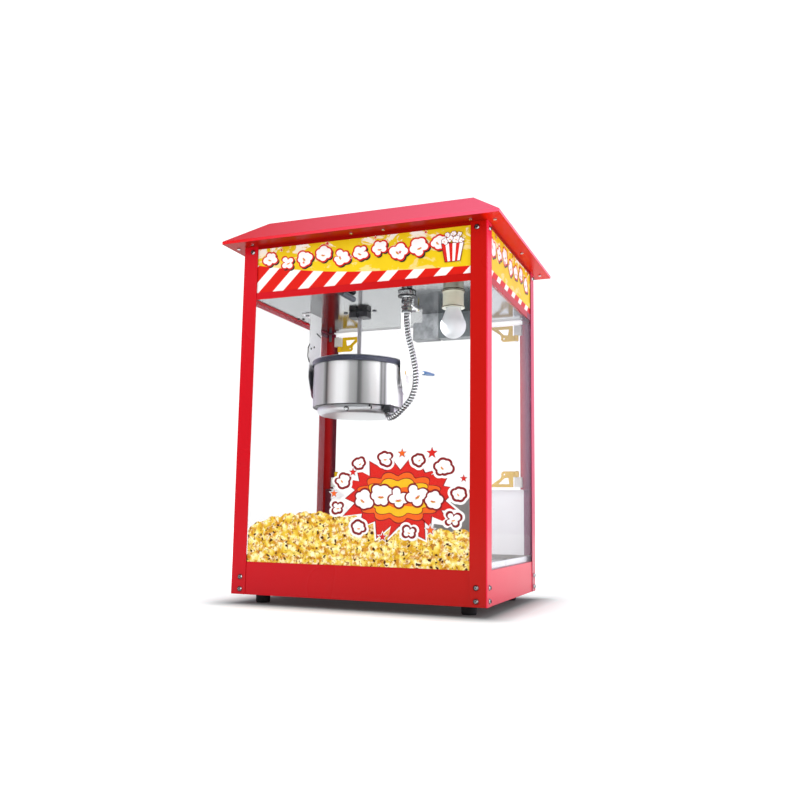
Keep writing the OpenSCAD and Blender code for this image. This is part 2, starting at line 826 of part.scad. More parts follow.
module control_box()
    color([0.36, 0.38, 0.40])
        difference() {
            block([box_x[0], box_y[0], z_ceiling - box_h], [box_x[1], box_y[1], z_ceiling]);
            block([box_x[0] + box_t, box_y[0] + box_t, z_ceiling - box_h + box_t],
                  [box_x[1] - box_t, box_y[1] - box_t, z_ceiling + over]);
        }

// Light grey terminal housing: a neck from the ceiling and a wider lower part with a round corner
module terminal_box()
    color([0.66, 0.68, 0.70]) {
        low = z_ceiling - box_h;
        mid = low + term_low_h;
        wall = 2;
        difference() {
            translate([0, term_y[1], low]) rotate([90, 0, 0])
                linear_extrude(term_y[1] - term_y[0])
                    union() {
                        translate([term_x, 0]) square([box_x[0] - term_x, term_low_h - term_corner_r]);
                        translate([term_x + term_corner_r, 0])
                            square([box_x[0] - term_x - term_corner_r, term_low_h]);
                        translate([term_x + term_corner_r, term_low_h - term_corner_r]) circle(r = term_corner_r);
                        translate([term_neck_x, 0]) square([box_x[0] - term_neck_x, box_h]);
                    }
            block([term_x + wall, term_y[0] + wall, low + wall],
                  [box_x[0] - wall, term_y[1] - wall, mid - term_corner_r]);
            block([term_neck_x + wall, term_y[0] + wall, mid - term_corner_r - over],
                  [box_x[0] - wall, term_y[1] - wall, z_ceiling + over]);
        }
        block([term_x, term_y[0] - 2, low - term_base_t], [box_x[0] - 2, term_y[1] + 2, low]);
    }

module ceiling_buffer()
    color(black_plastic)
        translate([buffer_x, -hd + pane_in + glass_t + seat, z_ceiling - sheet_t - buffer_r]) along_y() {
            cylinder(h = buffer_l - buffer_r / 2, r = buffer_r);
            translate([0, 0, buffer_l - buffer_r / 2]) cylinder(h = buffer_r / 2, r1 = buffer_r, r2 = buffer_r * 0.7);
        }

// ---------------------------------------------------------------- kettle hangers

// Folded strip: a web beside the kettle and a flange under the ceiling
module hanger(left)
    color(stainless) at_kettle() mirror([left ? 1 : 0, 0, 0])
        difference() {
            union() {
                translate([hanger_in, 0, 0]) rotate([90, 0, 90]) linear_extrude(hanger_t)
                    union() {
                        w = hanger_w / 2;
                        t = hanger_tip_w / 2;
                        tip = pz - hanger_tail;
                        polygon([[-w, z_ceiling], [-w, pz - 4], [-t, tip + t], [t, tip + t], [w, pz - 4], [w, z_ceiling]]);
                        translate([0, tip + t]) circle(r = t);
                    }
                block([hanger_in + hanger_t, -hanger_w / 2, z_ceiling - hanger_t],
                      [hanger_in + hanger_flange, hanger_w / 2, z_ceiling]);
            }
            translate([hanger_in - over, 0, pz]) along_x() cylinder(h = hanger_t + 2 * over, r = pivot_r + run);
            for (z = [18, 30]) translate([hanger_in - over, 0, pz - z]) along_x()
                cylinder(h = hanger_t + 2 * over, r = 2.2, $fn = 24);
        }

// ---------------------------------------------------------------- kettle

module kettle_shell()
    color([0.82, 0.83, 0.84]) at_kettle()
        rotate_extrude($fn = 96)
            polygon([[kettle_r - shell_turn, kb], [kettle_r, kb], [kettle_r, shell_top],
                     [kettle_r - shell_t, shell_top], [kettle_r - shell_t, kb + shell_t],
                     [kettle_r - shell_turn, kb + shell_t]]);

module kettle_pot()
    color([0.86, 0.86, 0.85]) at_kettle()
        rotate_extrude($fn = 96) {
            r = kettle_r - pot_gap;
            floor_z = kb + shell_t + heater_t;
            polygon([[0, floor_z], [r, floor_z], [r, shell_top], [kettle_r, shell_top],
                     [kettle_r, shell_top + pot_t], [r - pot_t, shell_top + pot_t],
                     [r - pot_t, floor_z + pot_t], [0, floor_z + pot_t]]);
        }

// Dark collar, rounded outside, that clamps the pot's flange on the shell
module kettle_rim()
    color(dark_steel) at_kettle()
        rotate_extrude($fn = 96)
            difference() {
                union() {
                    translate([kettle_r, kt - rim_h]) square([rim_t, rim_h - rim_t]);
                    translate([kettle_r, kt - rim_t]) circle(r = rim_t);
                    translate([kettle_r - rim_in, kt - rim_t]) square([rim_in, rim_t]);
                    translate([kettle_r - rim_in, kt - rim_lip]) square([rim_in, rim_lip - rim_t + 0.1]);
                }
                translate([kettle_r - rim_in - over, kt - rim_h - over])
                    square([rim_in + over, rim_h + over - rim_lip]);
            }

module heater_plate()
    color([0.30, 0.28, 0.27]) at_kettle()
        translate([0, 0, kb + shell_t]) cylinder(h = heater_t, r = kettle_r - heater_in, $fn = 96);

module kettle_pan()
    color([0.85, 0.85, 0.84]) at_kettle()
        rotate_extrude($fn = 96)
            difference() {
                union() {
                    translate([0, kb - pan_h]) square([pan_r - pan_round, pan_h]);
                    translate([0, kb - pan_h + pan_round]) square([pan_r, pan_h - pan_round]);
                    intersection() {
                        translate([pan_r - pan_round, kb - pan_h + pan_round]) circle(r = pan_round);
                        translate([0, kb - pan_h]) square([pan_r, pan_h]);
                    }
                }
                translate([-over, kb - pan_h + pan_t]) square([pan_r - pan_round + over, pan_h]);
                translate([-over, kb - pan_h + pan_round]) square([pan_r - pan_t + over, pan_h]);
                intersection() {
                    translate([pan_r - pan_round, kb - pan_h + pan_round]) circle(r = pan_round - pan_t);
                    translate([0, kb - pan_h]) square([pan_r, pan_h]);
                }
            }

// C-shaped brackets welded to the shell, one on each side
module kettle_ears()
    color(dark_steel) at_kettle() both_sides()
        difference() {
            block([kettle_r - 8, -ear_w / 2, pz + ear_z[0]], [kettle_r + ear_out, ear_w / 2, pz + ear_z[1]]);
            block([0, -ear_w, pz + ear_z[0] + ear_t], [kettle_r + ear_out - ear_t, ear_w, pz + ear_z[1] - ear_t]);
            translate([0, 0, kb]) cylinder(h = kettle_h, r = kettle_r, $fn = 96);
            translate([kettle_r, 0, pz]) along_x() cylinder(h = 20, r = pivot_r + press);
        }

module kettle_pivots()
    color([0.70, 0.60, 0.35]) at_kettle() {
        plate = kettle_r + ear_out - ear_t;
        for (s = [-1, 1]) {
            tip = s < 0 ? hub_x + pin_head_h : hub_x + hub_bore - seat;
            translate([s < 0 ? -tip : plate - pin_head_h, 0, pz]) along_x()
                cylinder(h = tip - plate + pin_head_h, r = pivot_r);
            translate([s < 0 ? -plate : plate - pin_head_h, 0, pz]) along_x()
                cylinder(h = pin_head_h, r = pin_head_r, $fn = 6);
        }
        translate([-hub_x, 0, pz]) along_x() cylinder(h = pin_head_h, r = pin_head_r, $fn = 6);
    }

// Lever on the right-hand pivot that reaches back to the operator
module handle_line() translate([handle_out, 0, pz + handle_up]) rotate([-90 + handle_rise, 0, 0]) children();

module dump_handle()
    color(stainless) at_kettle()
        difference() {
            union() {
                translate([hub_x, 0, pz]) along_x() cylinder(h = hub_l, r = hub_r);
                handle_line() cylinder(h = handle_rod_l, r = handle_rod_r);
            }
            translate([hub_x - over, 0, pz]) along_x() cylinder(h = hub_bore + over, r = pivot_r + press);
        }

module handle_grip()
    color([0.13, 0.42, 0.68]) at_kettle() handle_line()
        translate([0, 0, handle_rod_l + grip_cap - grip_l])
            rotate_extrude($fn = 40)
                difference() {
                    polygon([[0, 0], [grip_r - 1, 0], [grip_r, 3], [grip_r, grip_l * 0.35],
                             [grip_end_r, grip_l - 3], [grip_end_r * 0.7, grip_l], [0, grip_l]]);
                    translate([-over, -over]) square([handle_rod_r + press + over, grip_l - grip_cap + over]);
                }

// ---------------------------------------------------------------- lid

module lid_bridge()
    color(stainless) at_kettle()
        difference() {
            union() {
                intersection() {
                    block([-kettle_r, -bridge_w / 2, kt], [kettle_r, bridge_w / 2, kt + bridge_t]);
                    translate([0, 0, kt]) cylinder(h = bridge_t, r = kettle_r, $fn = 96);
                }
                translate([0, 0, kt - 6]) cylinder(h = boss_h + 6 + bridge_t, r = boss_r);
                for (sx = [-1, 1], sy = [-1, 1], x = lug_x)
                    translate([sx * x - lug_t / 2, 0, 0]) mirror([0, sy < 0 ? 1 : 0, 0])
                        block([0, bridge_w / 2 - 5, kt + bridge_t], [lug_t, lid_axis_y + 3, kt + lid_axis_up + 3]);
            }
            translate([0, 0, kt - 7]) cylinder(h = boss_h + 10 + bridge_t, r = rod_r + run);
            for (sy = [-1, 1]) translate([-kettle_r, sy * lid_axis_y, kt + lid_axis_up]) along_x()
                cylinder(h = 2 * kettle_r, r = lid_rod_r + run, $fn = 24);
        }

// Half lid with its hinge rod, drawn for the rear and mirrored for the front
module lid_flap(front)
    color(stainless) at_kettle() mirror([0, front ? 1 : 0, 0]) {
        difference() {
            translate([0, 0, kt + seat]) cylinder(h = lid_t, r = lid_r, $fn = 96);
            block([-lid_r - over, -lid_r - over, kt], [lid_r + over, lid_axis_y, kt + 3]);
            // room for the bridge's lugs when the flap is open
            for (s = [-1, 1], x = lug_x)
                block([s * x - lug_t / 2 - over, 0, kt], [s * x + lug_t / 2 + over, lid_axis_y + 5, kt + 3]);
        }
        translate([-lid_rod_l / 2, lid_axis_y, kt + lid_axis_up]) along_x()
            cylinder(h = lid_rod_l, r = lid_rod_r, $fn = 24);
        for (s = [-1, 1], x = tab_x)
            translate([s * x, 0, 0])
                block([-tab_w / 2, lid_axis_y - 0.8, kt + seat + lid_t], [tab_w / 2, lid_axis_y + 1.4, kt + lid_axis_up]);
    }

// ---------------------------------------------------------------- stirrer

// Rod with a flat tongue on top, a hub with two swept scraper blades and an upper beater
module stirrer()
    color([0.72, 0.72, 0.74]) at_kettle() {
        floor_z = kb + shell_t + heater_t + pot_t + stirrer_floor;
        rod_top = coupling_z - 4;
        translate([0, 0, floor_z]) cylinder(h = rod_top - floor_z, r = rod_r);
        translate([0, 0, floor_z]) cylinder(h = stir_hub_h, r = stir_hub_r);
        intersection() {
            translate([0, 0, rod_top]) cylinder(h = tongue_top - rod_top, r = rod_r);
            block([-tongue_t / 2, -rod_r, rod_top], [tongue_t / 2, rod_r, tongue_top]);
        }
        for (a = [0, 180]) rotate([0, 0, a]) {
            difference() {
                translate([0, blade_l / 2 + 6, floor_z]) cylinder(h = blade_h, r = blade_l / 2 + 6);
                translate([0, blade_l / 2 + 6, floor_z - over]) cylinder(h = blade_h + 2 * over, r = blade_l / 2 + 6 - blade_t);
                block([-blade_l, -over, floor_z - over], [0, 2 * blade_l, floor_z + blade_h + over]);
                block([0, blade_l / 2, floor_z - over], [2 * blade_l, 2 * blade_l, floor_z + blade_h + over]);
            }
        }
        translate([-beater_l, 0, floor_z + beater_z]) along_x() cylinder(h = 2 * beater_l, r = beater_r);
        for (s = [-1, 1]) translate([s * (beater_l - 2), 0, floor_z + beater_z - 16]) cylinder(h = 16, r = beater_r);
    }

// ---------------------------------------------------------------- conduit hose

module hose_gland()
    color(zinc)
        translate([gland_pos[0], gland_pos[1], z_ceiling]) {
            translate([0, 0, -hose_flange_h]) cylinder(h = hose_flange_h, r = hose_flange_r);
            translate([0, 0, -hose_body_l]) cylinder(h = hose_body_l + sheet_t + 8, r = hose_body_r);
            translate([0, 0, -hose_body_l + 3]) cylinder(h = hose_nut_h, r = hose_nut_r, $fn = 6);
            translate([0, 0, -hose_flange_h - 7]) cylinder(h = 7, r1 = hose_body_r, r2 = hose_nut_r);
            translate([0, 0, sheet_t]) cylinder(h = 5, r = hose_nut_r + 2, $fn = 6);
        }

// Point on the smooth curve through the route: span i, fraction t
function route_at(p, i, t) =
    let (n = len(p) - 1, a = p[max(i - 1, 0)], b = p[i], c = p[min(i + 1, n)], d = p[min(i + 2, n)])
    0.5 * ((2 * b) + (c - a) * t + (2 * a - 5 * b + 4 * c - d) * t * t + (3 * b - a - 3 * c + d) * t * t * t);

function route_points(p, steps) = concat(
    [for (i = [0 : len(p) - 2], k = [0 : steps - 1]) route_at(p, i, k / steps)], [p[len(p) - 1]]);

function unit(v) = v / norm(v);

// Round tube along a list of points, its rings square to the curve
module tube_along(q, r, sides) {
    n = len(q);
    side = [0, 1, 0];
    rings = [for (i = [0 : n - 1])
        let (t = unit(q[min(i + 1, n - 1)] - q[max(i - 1, 0)]), u = unit(cross(t, side)), v = cross(t, u))
        for (k = [0 : sides - 1]) q[i] + r * (cos(k * 360 / sides) * u + sin(k * 360 / sides) * v)];
    faces = concat(
        [[for (k = [0 : sides - 1]) k]],
        [for (i = [0 : n - 2], k = [0 : sides - 1])
            [i * sides + k, (i + 1) * sides + k, (i + 1) * sides + (k + 1) % sides, i * sides + (k + 1) % sides]],
        [[for (k = [sides - 1 : -1 : 0]) (n - 1) * sides + k]]);
    polyhedron(rings, faces, convexity = 6);
}

module kettle_hose()
    color([0.70, 0.71, 0.73]) tube_along(route_points(hose_route, hose_steps), hose_r, hose_sides);

// Small connection box under the shell, with the stub that the hose ends on
module hose_terminal()
    color(black_plastic) at_kettle()
        difference() {
            union() {
                translate([term_mid[0] - term_box[0] / 2, term_mid[1] - term_box[1] / 2, kb - term_box[2]]) cube(term_box);
                hose_stub();
            }
            translate([0, 0, kb - 2 * term_box[2]]) cylinder(h = 4 * term_box[2], r = pan_r + press, $fn = 96);
            translate([0, 0, kb]) cylinder(h = 2 * term_box[2], r = 3 * kettle_r);
        }

// Round stub that the hose ends on, along the hose's last direction
module hose_stub() {
    q = route_points(hose_route, hose_steps);
    tip = q[len(q) - 1];
    dir = unit(tip - q[len(q) - 2]);
    translate([tip[0] - kettle_x, tip[1] - kettle_y, tip[2]])
        rotate([0, acos(dir[2]), atan2(dir[1], dir[0])])
            translate([0, 0, seat]) cylinder(h = stub_l, r = stub_r);
}

// ---------------------------------------------------------------- nodes

base_skirt();
floor_tray();
crumb_drawer();
feet();
post(false, false);  // post_front_left
post(true, false);  // post_front_right
post(false, true);  // post_rear_left
post(true, true);  // post_rear_right
header_rail();
header_top();
ceiling_plate();
roof();
front_sign();  // sign_front
side_sign(true);  // sign_left
side_sign(false);  // sign_right
control_panel();
front_glass();
side_glass(true);  // left_glass
side_glass(false);  // right_glass
front_film();
rear_panel();
cabinet_screws();
roof_screws();
ceiling_screws();
hinge_blocks();
hinge_pins();
door(true);  // left_door
door(false);  // right_door
door_brackets(true);  // left_door_brackets
door_brackets(false);  // right_door_brackets
gear_motor();
drive_coupling();
lamp_socket();
lamp_bulb();
control_box();
terminal_box();
ceiling_buffer();
switch_frames();
color([0.75, 0.08, 0.05]) rocker(switch_x[0]);  // light_rocker
color([0.75, 0.08, 0.05]) rocker(switch_x[1]);  // heat_rocker
color([0.75, 0.08, 0.05]) rocker(switch_x[2]);  // motor_rocker
cable_gland();
hose_gland();
kettle_hose();
hanger(true);  // left_hanger
hanger(false);  // right_hanger
kettle_shell();
kettle_pot();
kettle_rim();
heater_plate();
kettle_pan();
kettle_ears();
kettle_pivots();
lid_bridge();
lid_flap(true);  // lid_front
lid_flap(false);  // lid_rear
stirrer();
dump_handle();
handle_grip();
hose_terminal();
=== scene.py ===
import math
import random

import bpy
from mathutils import Matrix, Vector


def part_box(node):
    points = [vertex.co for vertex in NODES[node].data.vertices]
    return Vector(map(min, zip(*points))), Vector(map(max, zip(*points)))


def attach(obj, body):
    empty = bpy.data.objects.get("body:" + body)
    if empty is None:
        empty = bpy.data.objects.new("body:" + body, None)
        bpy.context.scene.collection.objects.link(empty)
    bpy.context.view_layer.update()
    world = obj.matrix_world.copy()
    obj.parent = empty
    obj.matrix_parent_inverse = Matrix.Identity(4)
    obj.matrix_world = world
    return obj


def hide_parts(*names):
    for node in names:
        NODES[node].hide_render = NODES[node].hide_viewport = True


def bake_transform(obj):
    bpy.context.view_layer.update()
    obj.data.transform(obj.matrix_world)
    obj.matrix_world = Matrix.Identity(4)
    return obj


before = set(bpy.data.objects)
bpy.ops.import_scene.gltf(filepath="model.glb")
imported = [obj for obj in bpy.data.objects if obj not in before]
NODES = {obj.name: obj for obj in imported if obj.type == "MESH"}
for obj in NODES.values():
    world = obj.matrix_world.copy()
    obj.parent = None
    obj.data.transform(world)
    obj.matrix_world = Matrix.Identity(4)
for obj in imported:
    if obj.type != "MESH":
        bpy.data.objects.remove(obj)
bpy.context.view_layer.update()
scene = bpy.context.scene
MM = 0.001


# ---------------------------------------------------------------- camera
# solved from the cabinet's corners in the photo: place in metres, then yaw, pitch and roll in degrees
CAMERA_AT = (0.654975, -1.61473, 0.177231)
CAMERA_TURN = (21.639, 7.708, 0.876)
FOCAL_PX, FRAME_PX, SENSOR = 836.515, 800, 36


def make_camera():
    yaw, pitch, roll = (math.radians(a) for a in CAMERA_TURN)
    fwd = Vector((-math.sin(yaw) * math.cos(pitch), math.cos(yaw) * math.cos(pitch), math.sin(pitch)))
    level = Vector((math.cos(yaw), math.sin(yaw), 0))
    upright = level.cross(fwd)
    right = level * math.cos(roll) + upright * math.sin(roll)
    up = -level * math.sin(roll) + upright * math.cos(roll)
    data = bpy.data.cameras.new("photo_camera")
    data.sensor_width = SENSOR
    data.lens = FOCAL_PX / FRAME_PX * SENSOR
    data.clip_start = 0.01
    cam = bpy.data.objects.new("photo_camera", data)
    scene.collection.objects.link(cam)
    m = Matrix((right, up, -fwd)).transposed().to_4x4()
    m.translation = Vector(CAMERA_AT)
    cam.matrix_world = m
    scene.camera = cam


make_camera()


# ---------------------------------------------------------------- material kit
def lin(r, g, b):
    """sRGB 0-255 to linear."""
    def c(v):
        v /= 255
        return v / 12.92 if v <= 0.04045 else ((v + 0.055) / 1.055) ** 2.4
    return (c(r), c(g), c(b), 1.0)


def shade(c, k):
    """The colour k times as bright."""
    return (*(min(1, v * k) for v in c[:3]), 1)


class Tree:
    """A node tree with a few short ways to add nodes. coord: the texture coordinate that it works in."""

    def __init__(self, tree, coord):
        self.t = tree
        self.coord = self.node("TexCoord").outputs[coord]

    def node(self, kind, **sockets):
        return self.set(self.t.nodes.new("ShaderNode" + kind), **sockets)

    def set(self, node, **sockets):
        for k, v in sockets.items():
            node.inputs[k.replace("_", " ")].default_value = v
        return node

    def link(self, a, b):
        self.t.links.new(a, b)

    def put(self, v, socket):
        """Links an output to the socket, or sets the socket to a plain value."""
        if hasattr(v, "is_output"):
            self.link(v, socket)
        else:
            socket.default_value = v

    def scaled(self, *scale):
        n = self.node("Mapping", Scale=scale)
        self.link(self.coord, n.inputs["Vector"])
        return n.outputs["Vector"]

    def noise(self, scale, detail=3.0, rough=0.5, vec=None, distort=0.0, out="Fac"):
        n = self.node("TexNoise", Scale=scale, Detail=detail, Roughness=rough, Distortion=distort)
        self.link(vec or self.coord, n.inputs["Vector"])
        return n.outputs[out]

    def voronoi(self, scale, vec, out="Distance"):
        n = self.node("TexVoronoi", Scale=scale)
        self.link(vec, n.inputs["Vector"])
        return n.outputs[out]

    def ramp(self, fac, stops):
        n = self.node("ValToRGB")
        el = n.color_ramp.elements
        while len(el) < len(stops):
            el.new(0.5)
        for e, (at, c) in zip(el, stops):
            e.position = at
            e.color = (*c[:3], 1)
        self.link(fac, n.inputs["Fac"])
        return n.outputs["Color"]

    def mix(self, fac, a, b, mode="MIX"):
        n = self.node("Mix")
        n.data_type = "RGBA"
        n.blend_type = mode
        for v, socket in ((fac, n.inputs["Factor"]), (a, n.inputs[6]), (b, n.inputs[7])):
            self.put(v, socket)
        return n.outputs[2]

    def math(self, op, a, b=0.0, clamp=False):
        n = self.node("Math")
        n.operation = op
        n.use_clamp = clamp
        for v, socket in zip((a, b), n.inputs):
            self.put(v, socket)
        return n.outputs[0]

    def range(self, v, a, b, c=0.0, d=1.0):
        """Turns a..b into c..d and holds both ends."""
        n = self.node("MapRange", From_Min=a, From_Max=b, To_Min=c, To_Max=d)
        self.link(v, n.inputs["Value"])
        return n.outputs["Result"]

    def past(self, v, edge, soft=0.0001):
        """0 below the edge and 1 above it."""
        return self.range(v, edge - soft, edge + soft)

    def short_of(self, v, edge, soft=0.0001):
        """1 below the edge and 0 above it."""
        return self.range(v, edge - soft, edge + soft, 1, 0)

    def xyz(self, vec=None):
        n = self.node("SeparateXYZ")
        self.link(vec or self.coord, n.inputs[0])
        return n.outputs


class Mat(Tree):
    """A material of one Principled shader. A CAD object sits at the origin, so its coordinates are the frame's."""

    def __init__(self, name, rough=0.5, metal=0.0, **sockets):
        self.m = bpy.data.materials.new(name)
        self.m.use_nodes = True
        super().__init__(self.m.node_tree, "Object")
        self.b = self.t.nodes["Principled BSDF"]
        self.set(self.b, Roughness=rough, Metallic=metal, **sockets)

    def color(self, c):
        self.put(c, self.b.inputs["Base Color"])

    def rough(self, v):
        self.link(v, self.b.inputs["Roughness"])

    def glow(self, strength):
        """A little white light of its own, where the photo's studio lights a face more than the lamps here."""
        self.b.inputs["Emission Color"].default_value = (1, 1, 1, 1)
        self.link(strength, self.b.inputs["Emission Strength"])

    def bump(self, height, strength, distance, edge=0.0):
        """edge: the radius to which edges look rounded."""
        n = self.node("Bump", Strength=strength, Distance=distance)
        self.link(height, n.inputs["Height"])
        if edge:
            bevel = self.node("Bevel", Radius=edge)
            bevel.samples = 4
            self.link(bevel.outputs["Normal"], n.inputs["Normal"])
        self.link(n.outputs["Normal"], self.b.inputs["Normal"])


# planes that tell a piece's faces apart, in metres from the cabinet's middle
OUTER_SIDE = 0.2553
RAIL_INSIDE, RAIL_BACK, RAIL_END = 0.1299, 0.19015, 0.23125
REAR_POST_SIDE, REAR_POST_BACK = 0.25645, 0.19145
PANEL_MIDDLE, PANEL_END = 0.1325, 0.23275


def enamel(name, rgb, rough=0.28, peel=0.008, coat=0.18, specular=0.4, right=None, rail=False, sheen=None,
           under=None):
    """Sprayed and baked paint: slight tone drift, fine orange peel, softened edges, uneven gloss.
    right: the tone at the right-hand side, where painted shade and light change it across the cabinet.
    sheen: the tone of the outer right-hand faces, a painted reflection. under: the tones of faces that look down, in
    front and at the right, a painted shade.
    rail: bare bright steel on the inside of the header's rear rail, with a painted glow, and painted shade at its two
    ends."""
    m = Mat(name, rough=rough, Coat_Weight=coat, Coat_Roughness=0.1, Specular_IOR_Level=specular)
    c = m.mix(m.noise(3, 1, 0.4), shade(rgb, 0.96), shade(rgb, 1.04))
    x, y, _ = m.xyz()
    # painted shade and light: the tone changes across the cabinet
    if right:
        c = m.mix(m.range(x, -0.25, 0.25), c, right)
    # painted reflection on the outer right-hand faces
    if sheen:
        c = m.mix(m.past(x, OUTER_SIDE), c, sheen)
    # painted shade on faces that look down, with less gloss there
    if under:
        up = m.xyz(m.node("NewGeometry").outputs["True Normal"])[2]
        c = m.mix(m.range(up, -0.5, -0.3, 1, 0), c, m.mix(m.range(x, 0.25, 0.26), *under))
        m.link(m.range(up, -0.5, -0.3, 0.04, specular), m.b.inputs["Specular IOR Level"])
    # painted glow on the rail's inside, painted shade at its two ends
    if rail:
        inside = m.math("MULTIPLY", m.past(y, RAIL_INSIDE), m.short_of(y, RAIL_BACK, 0.00005))
        end = m.past(m.math("ABSOLUTE", x), RAIL_END, 0.00025)
        c = m.mix(inside, c, m.mix(end, lin(252, 252, 253), lin(122, 22, 48)))
        m.glow(m.math("MULTIPLY", m.math("SUBTRACT", inside, end, True), 0.3))
    m.color(c)
    m.rough(m.range(m.noise(9, 1, 0.4), 0.0, 1.0, rough - 0.02, rough + 0.02))
    m.bump(m.noise(700, 2, 0.5), peel, 0.0004, 0.0008)
    return m.m


def metal(name, rgb, rough=0.25, grain=(6, 6, 500), strength=0.12, edge=0.0006, smudge=0.08):
    """Metal with a directional grain: the coordinates are stretched along the brushing."""
    m = Mat(name, rough=rough, metal=1.0)
    g = m.noise(1.0, 4, 0.7, m.scaled(*grain))
    s = m.noise(14, 4, 0.6)
    m.color(m.mix(m.range(g, 0.3, 0.7), shade(rgb, 0.95), shade(rgb, 1.03)))
    m.rough(m.range(m.math("ADD", g, m.math("MULTIPLY", s, 0.8)), 0.55, 1.25, rough - smudge * 0.6, rough + smudge))
    m.bump(g, strength, 0.0003, edge)
    return m.m


def plastic(name, rgb, rough=0.45, grain=900, strength=0.15, edge=0.0008, coat=0.0):
    """Moulded or dipped surface: soft drift of tone and gloss, and a fine even grain."""
    m = Mat(name, rough=rough, Coat_Weight=coat)
    n = m.noise(grain, 2, 0.6)
    d = m.noise(18, 4, 0.6)
    m.color(m.mix(m.range(d, 0.3, 0.7), shade(rgb, 0.86), shade(rgb, 1.1)))
    m.rough(m.range(d, 0.3, 0.7, rough - 0.06, rough + 0.1))
    m.bump(n, strength, 0.0003, edge)
    return m.m


def clear(name, tint, alpha, rough=0.03):
    """Thin clear pane: mostly see-through, with faint wipe marks in the gloss."""
    m = Mat(name, rough=rough, IOR=1.5, Base_Color=tint, Alpha=alpha)
    w = m.noise(3, 5, 0.6, m.scaled(1, 1, 4), 0.6)
    m.rough(m.range(w, 0.35, 0.75, rough, rough + 0.06))
    return m.m


# the red falls to a darker tone at the right, a painted shade; the outer right-hand faces get a pink painted reflection
RED, RED_RIGHT_SHADE, SIDE_SHEEN_PINK = lin(194, 10, 26), lin(178, 14, 6), lin(226, 34, 68)
RED_MAT = enamel("red_enamel", RED, coat=0.03, specular=0.13, right=RED_RIGHT_SHADE, sheen=SIDE_SHEEN_PINK)
RAIL_MAT = enamel("rail_enamel", RED, coat=0.03, specular=0.13, right=RED_RIGHT_SHADE, rail=True)
# roof: pink towards the right, a painted reflection; faces that look down get painted shade, orange-red at the right
ROOF_MAT = enamel("roof_enamel", lin(210, 4, 16), rough=0.3, coat=0.04, specular=0.2, right=lin(236, 84, 112),
                  under=(lin(146, 14, 4), lin(206, 24, 2)))
# the header below the roof's eave is a darker red: painted shade cast by the eave
HEADER_SHADE_MAT = enamel("header_shaded_enamel", lin(148, 8, 10), coat=0.02, specular=0.08, right=lin(152, 14, 2))
STEEL = metal("brushed_stainless", (0.72, 0.73, 0.75, 1), 0.27, (4, 4, 1500), 0.03)
# near-white coated diffuse in place of the right hanger's bright steel: a painted reflection; the dump handle wears it
# too
HANGER = plastic("hanger_steel", lin(252, 252, 253), 0.3, 60, 0.01, coat=0.3)
MIRROR = metal("mirror_stainless", (0.22, 0.222, 0.228, 1), 0.12, (4, 500, 4), 0.01, edge=0, smudge=0.03)
ZINC = metal("zinc_plate", (0.56, 0.57, 0.58, 1), 0.24, (90, 90, 90), 0.05)
DARK_STEEL = enamel("blue_black_steel", lin(52, 54, 68), 0.3, 0.04)
CAST = metal("cast_alloy", (0.68, 0.68, 0.70, 1), 0.42, (220, 220, 220), 0.2)
HEATER = plastic("cast_iron", lin(70, 66, 62), 0.7, 300, 0.5)
BRASS = metal("turned_brass", lin(205, 170, 100), 0.28, (500, 40, 40), 0.1)
BLACK = plastic("black_moulding", lin(38, 38, 42), 0.42)
RUBBER = plastic("black_rubber", lin(30, 30, 33), 0.72, 500, 0.3)
DAMPER = plastic("damper_rubber", lin(66, 70, 78), 0.6, 500, 0.2)
WHITE = plastic("white_moulding", lin(232, 230, 222), 0.4)
SWITCH_RED = plastic("red_rocker", lin(200, 16, 10), 0.25, 600, 0.05, coat=0.3)
BLUE = plastic("blue_vinyl", lin(0, 96, 156), 0.34, 260, 0.08, coat=0.3)
YELLOW_PLATE = enamel("yellow_bracket", lin(238, 192, 0), 0.36, 0.03, specular=0.2)
MOTOR = enamel("grey_motor", lin(120, 124, 128), 0.4, 0.1)
BOX_GREY = enamel("grey_box", lin(88, 94, 97), 0.36, 0.04, coat=0.1)
GLASS = clear("cabinet_glass", (0.03, 0.04, 0.04, 1), 0.03)
# the side panes' pale bluish tint is a painted reflection: a faint white veil over what lies behind them
SIDE_GLASS = clear("side_glass", (0.84, 0.84, 0.96, 1), 0.10)
ACRYLIC = clear("door_acrylic", (0.10, 0.11, 0.12, 1), 0.03, 0.05)


def ceramic():
    m = Mat("glazed_ceramic", rough=0.22, Coat_Weight=0.5)
    d = m.noise(30, 4, 0.6)
    m.color(m.mix(m.range(d, 0.3, 0.7), lin(214, 214, 190), lin(232, 230, 208)))
    m.bump(m.noise(140, 2, 0.5), 0.12, 0.0006, 0.001)
    return m.m


def frosted():
    m = Mat("frosted_bulb", rough=0.4, Coat_Weight=0.12, Coat_Roughness=0.15)
    d = m.noise(24, 3, 0.5)
    m.color(m.mix(m.range(d, 0.3, 0.7), lin(214, 219, 224), lin(236, 240, 243)))
    return m.m


KETTLE_AT = (-82, 0, 0)
# upright bands of painted reflection round the spun shell: degrees from its front, brightness
SHELL_REFLECTION_BANDS = ((-150, .35), (-120, .90), (-82, .55), (-66, .20), (-45, .42), (-25, .50), (-21, .24),
               (-18, .05), (-15, .42), (-11, .66), (-3, .97), (4, .97), (9, .80), (14, .42), (22, .30), (24, .10),
               (27, .13), (30, .30), (35, .38), (40, .50), (50, .62), (53, .06), (56, .26), (59, .12), (63, .80),
               (66, 1.0), (80, 1.0), (90, .50), (95, .38), (99, .12), (112, .10))


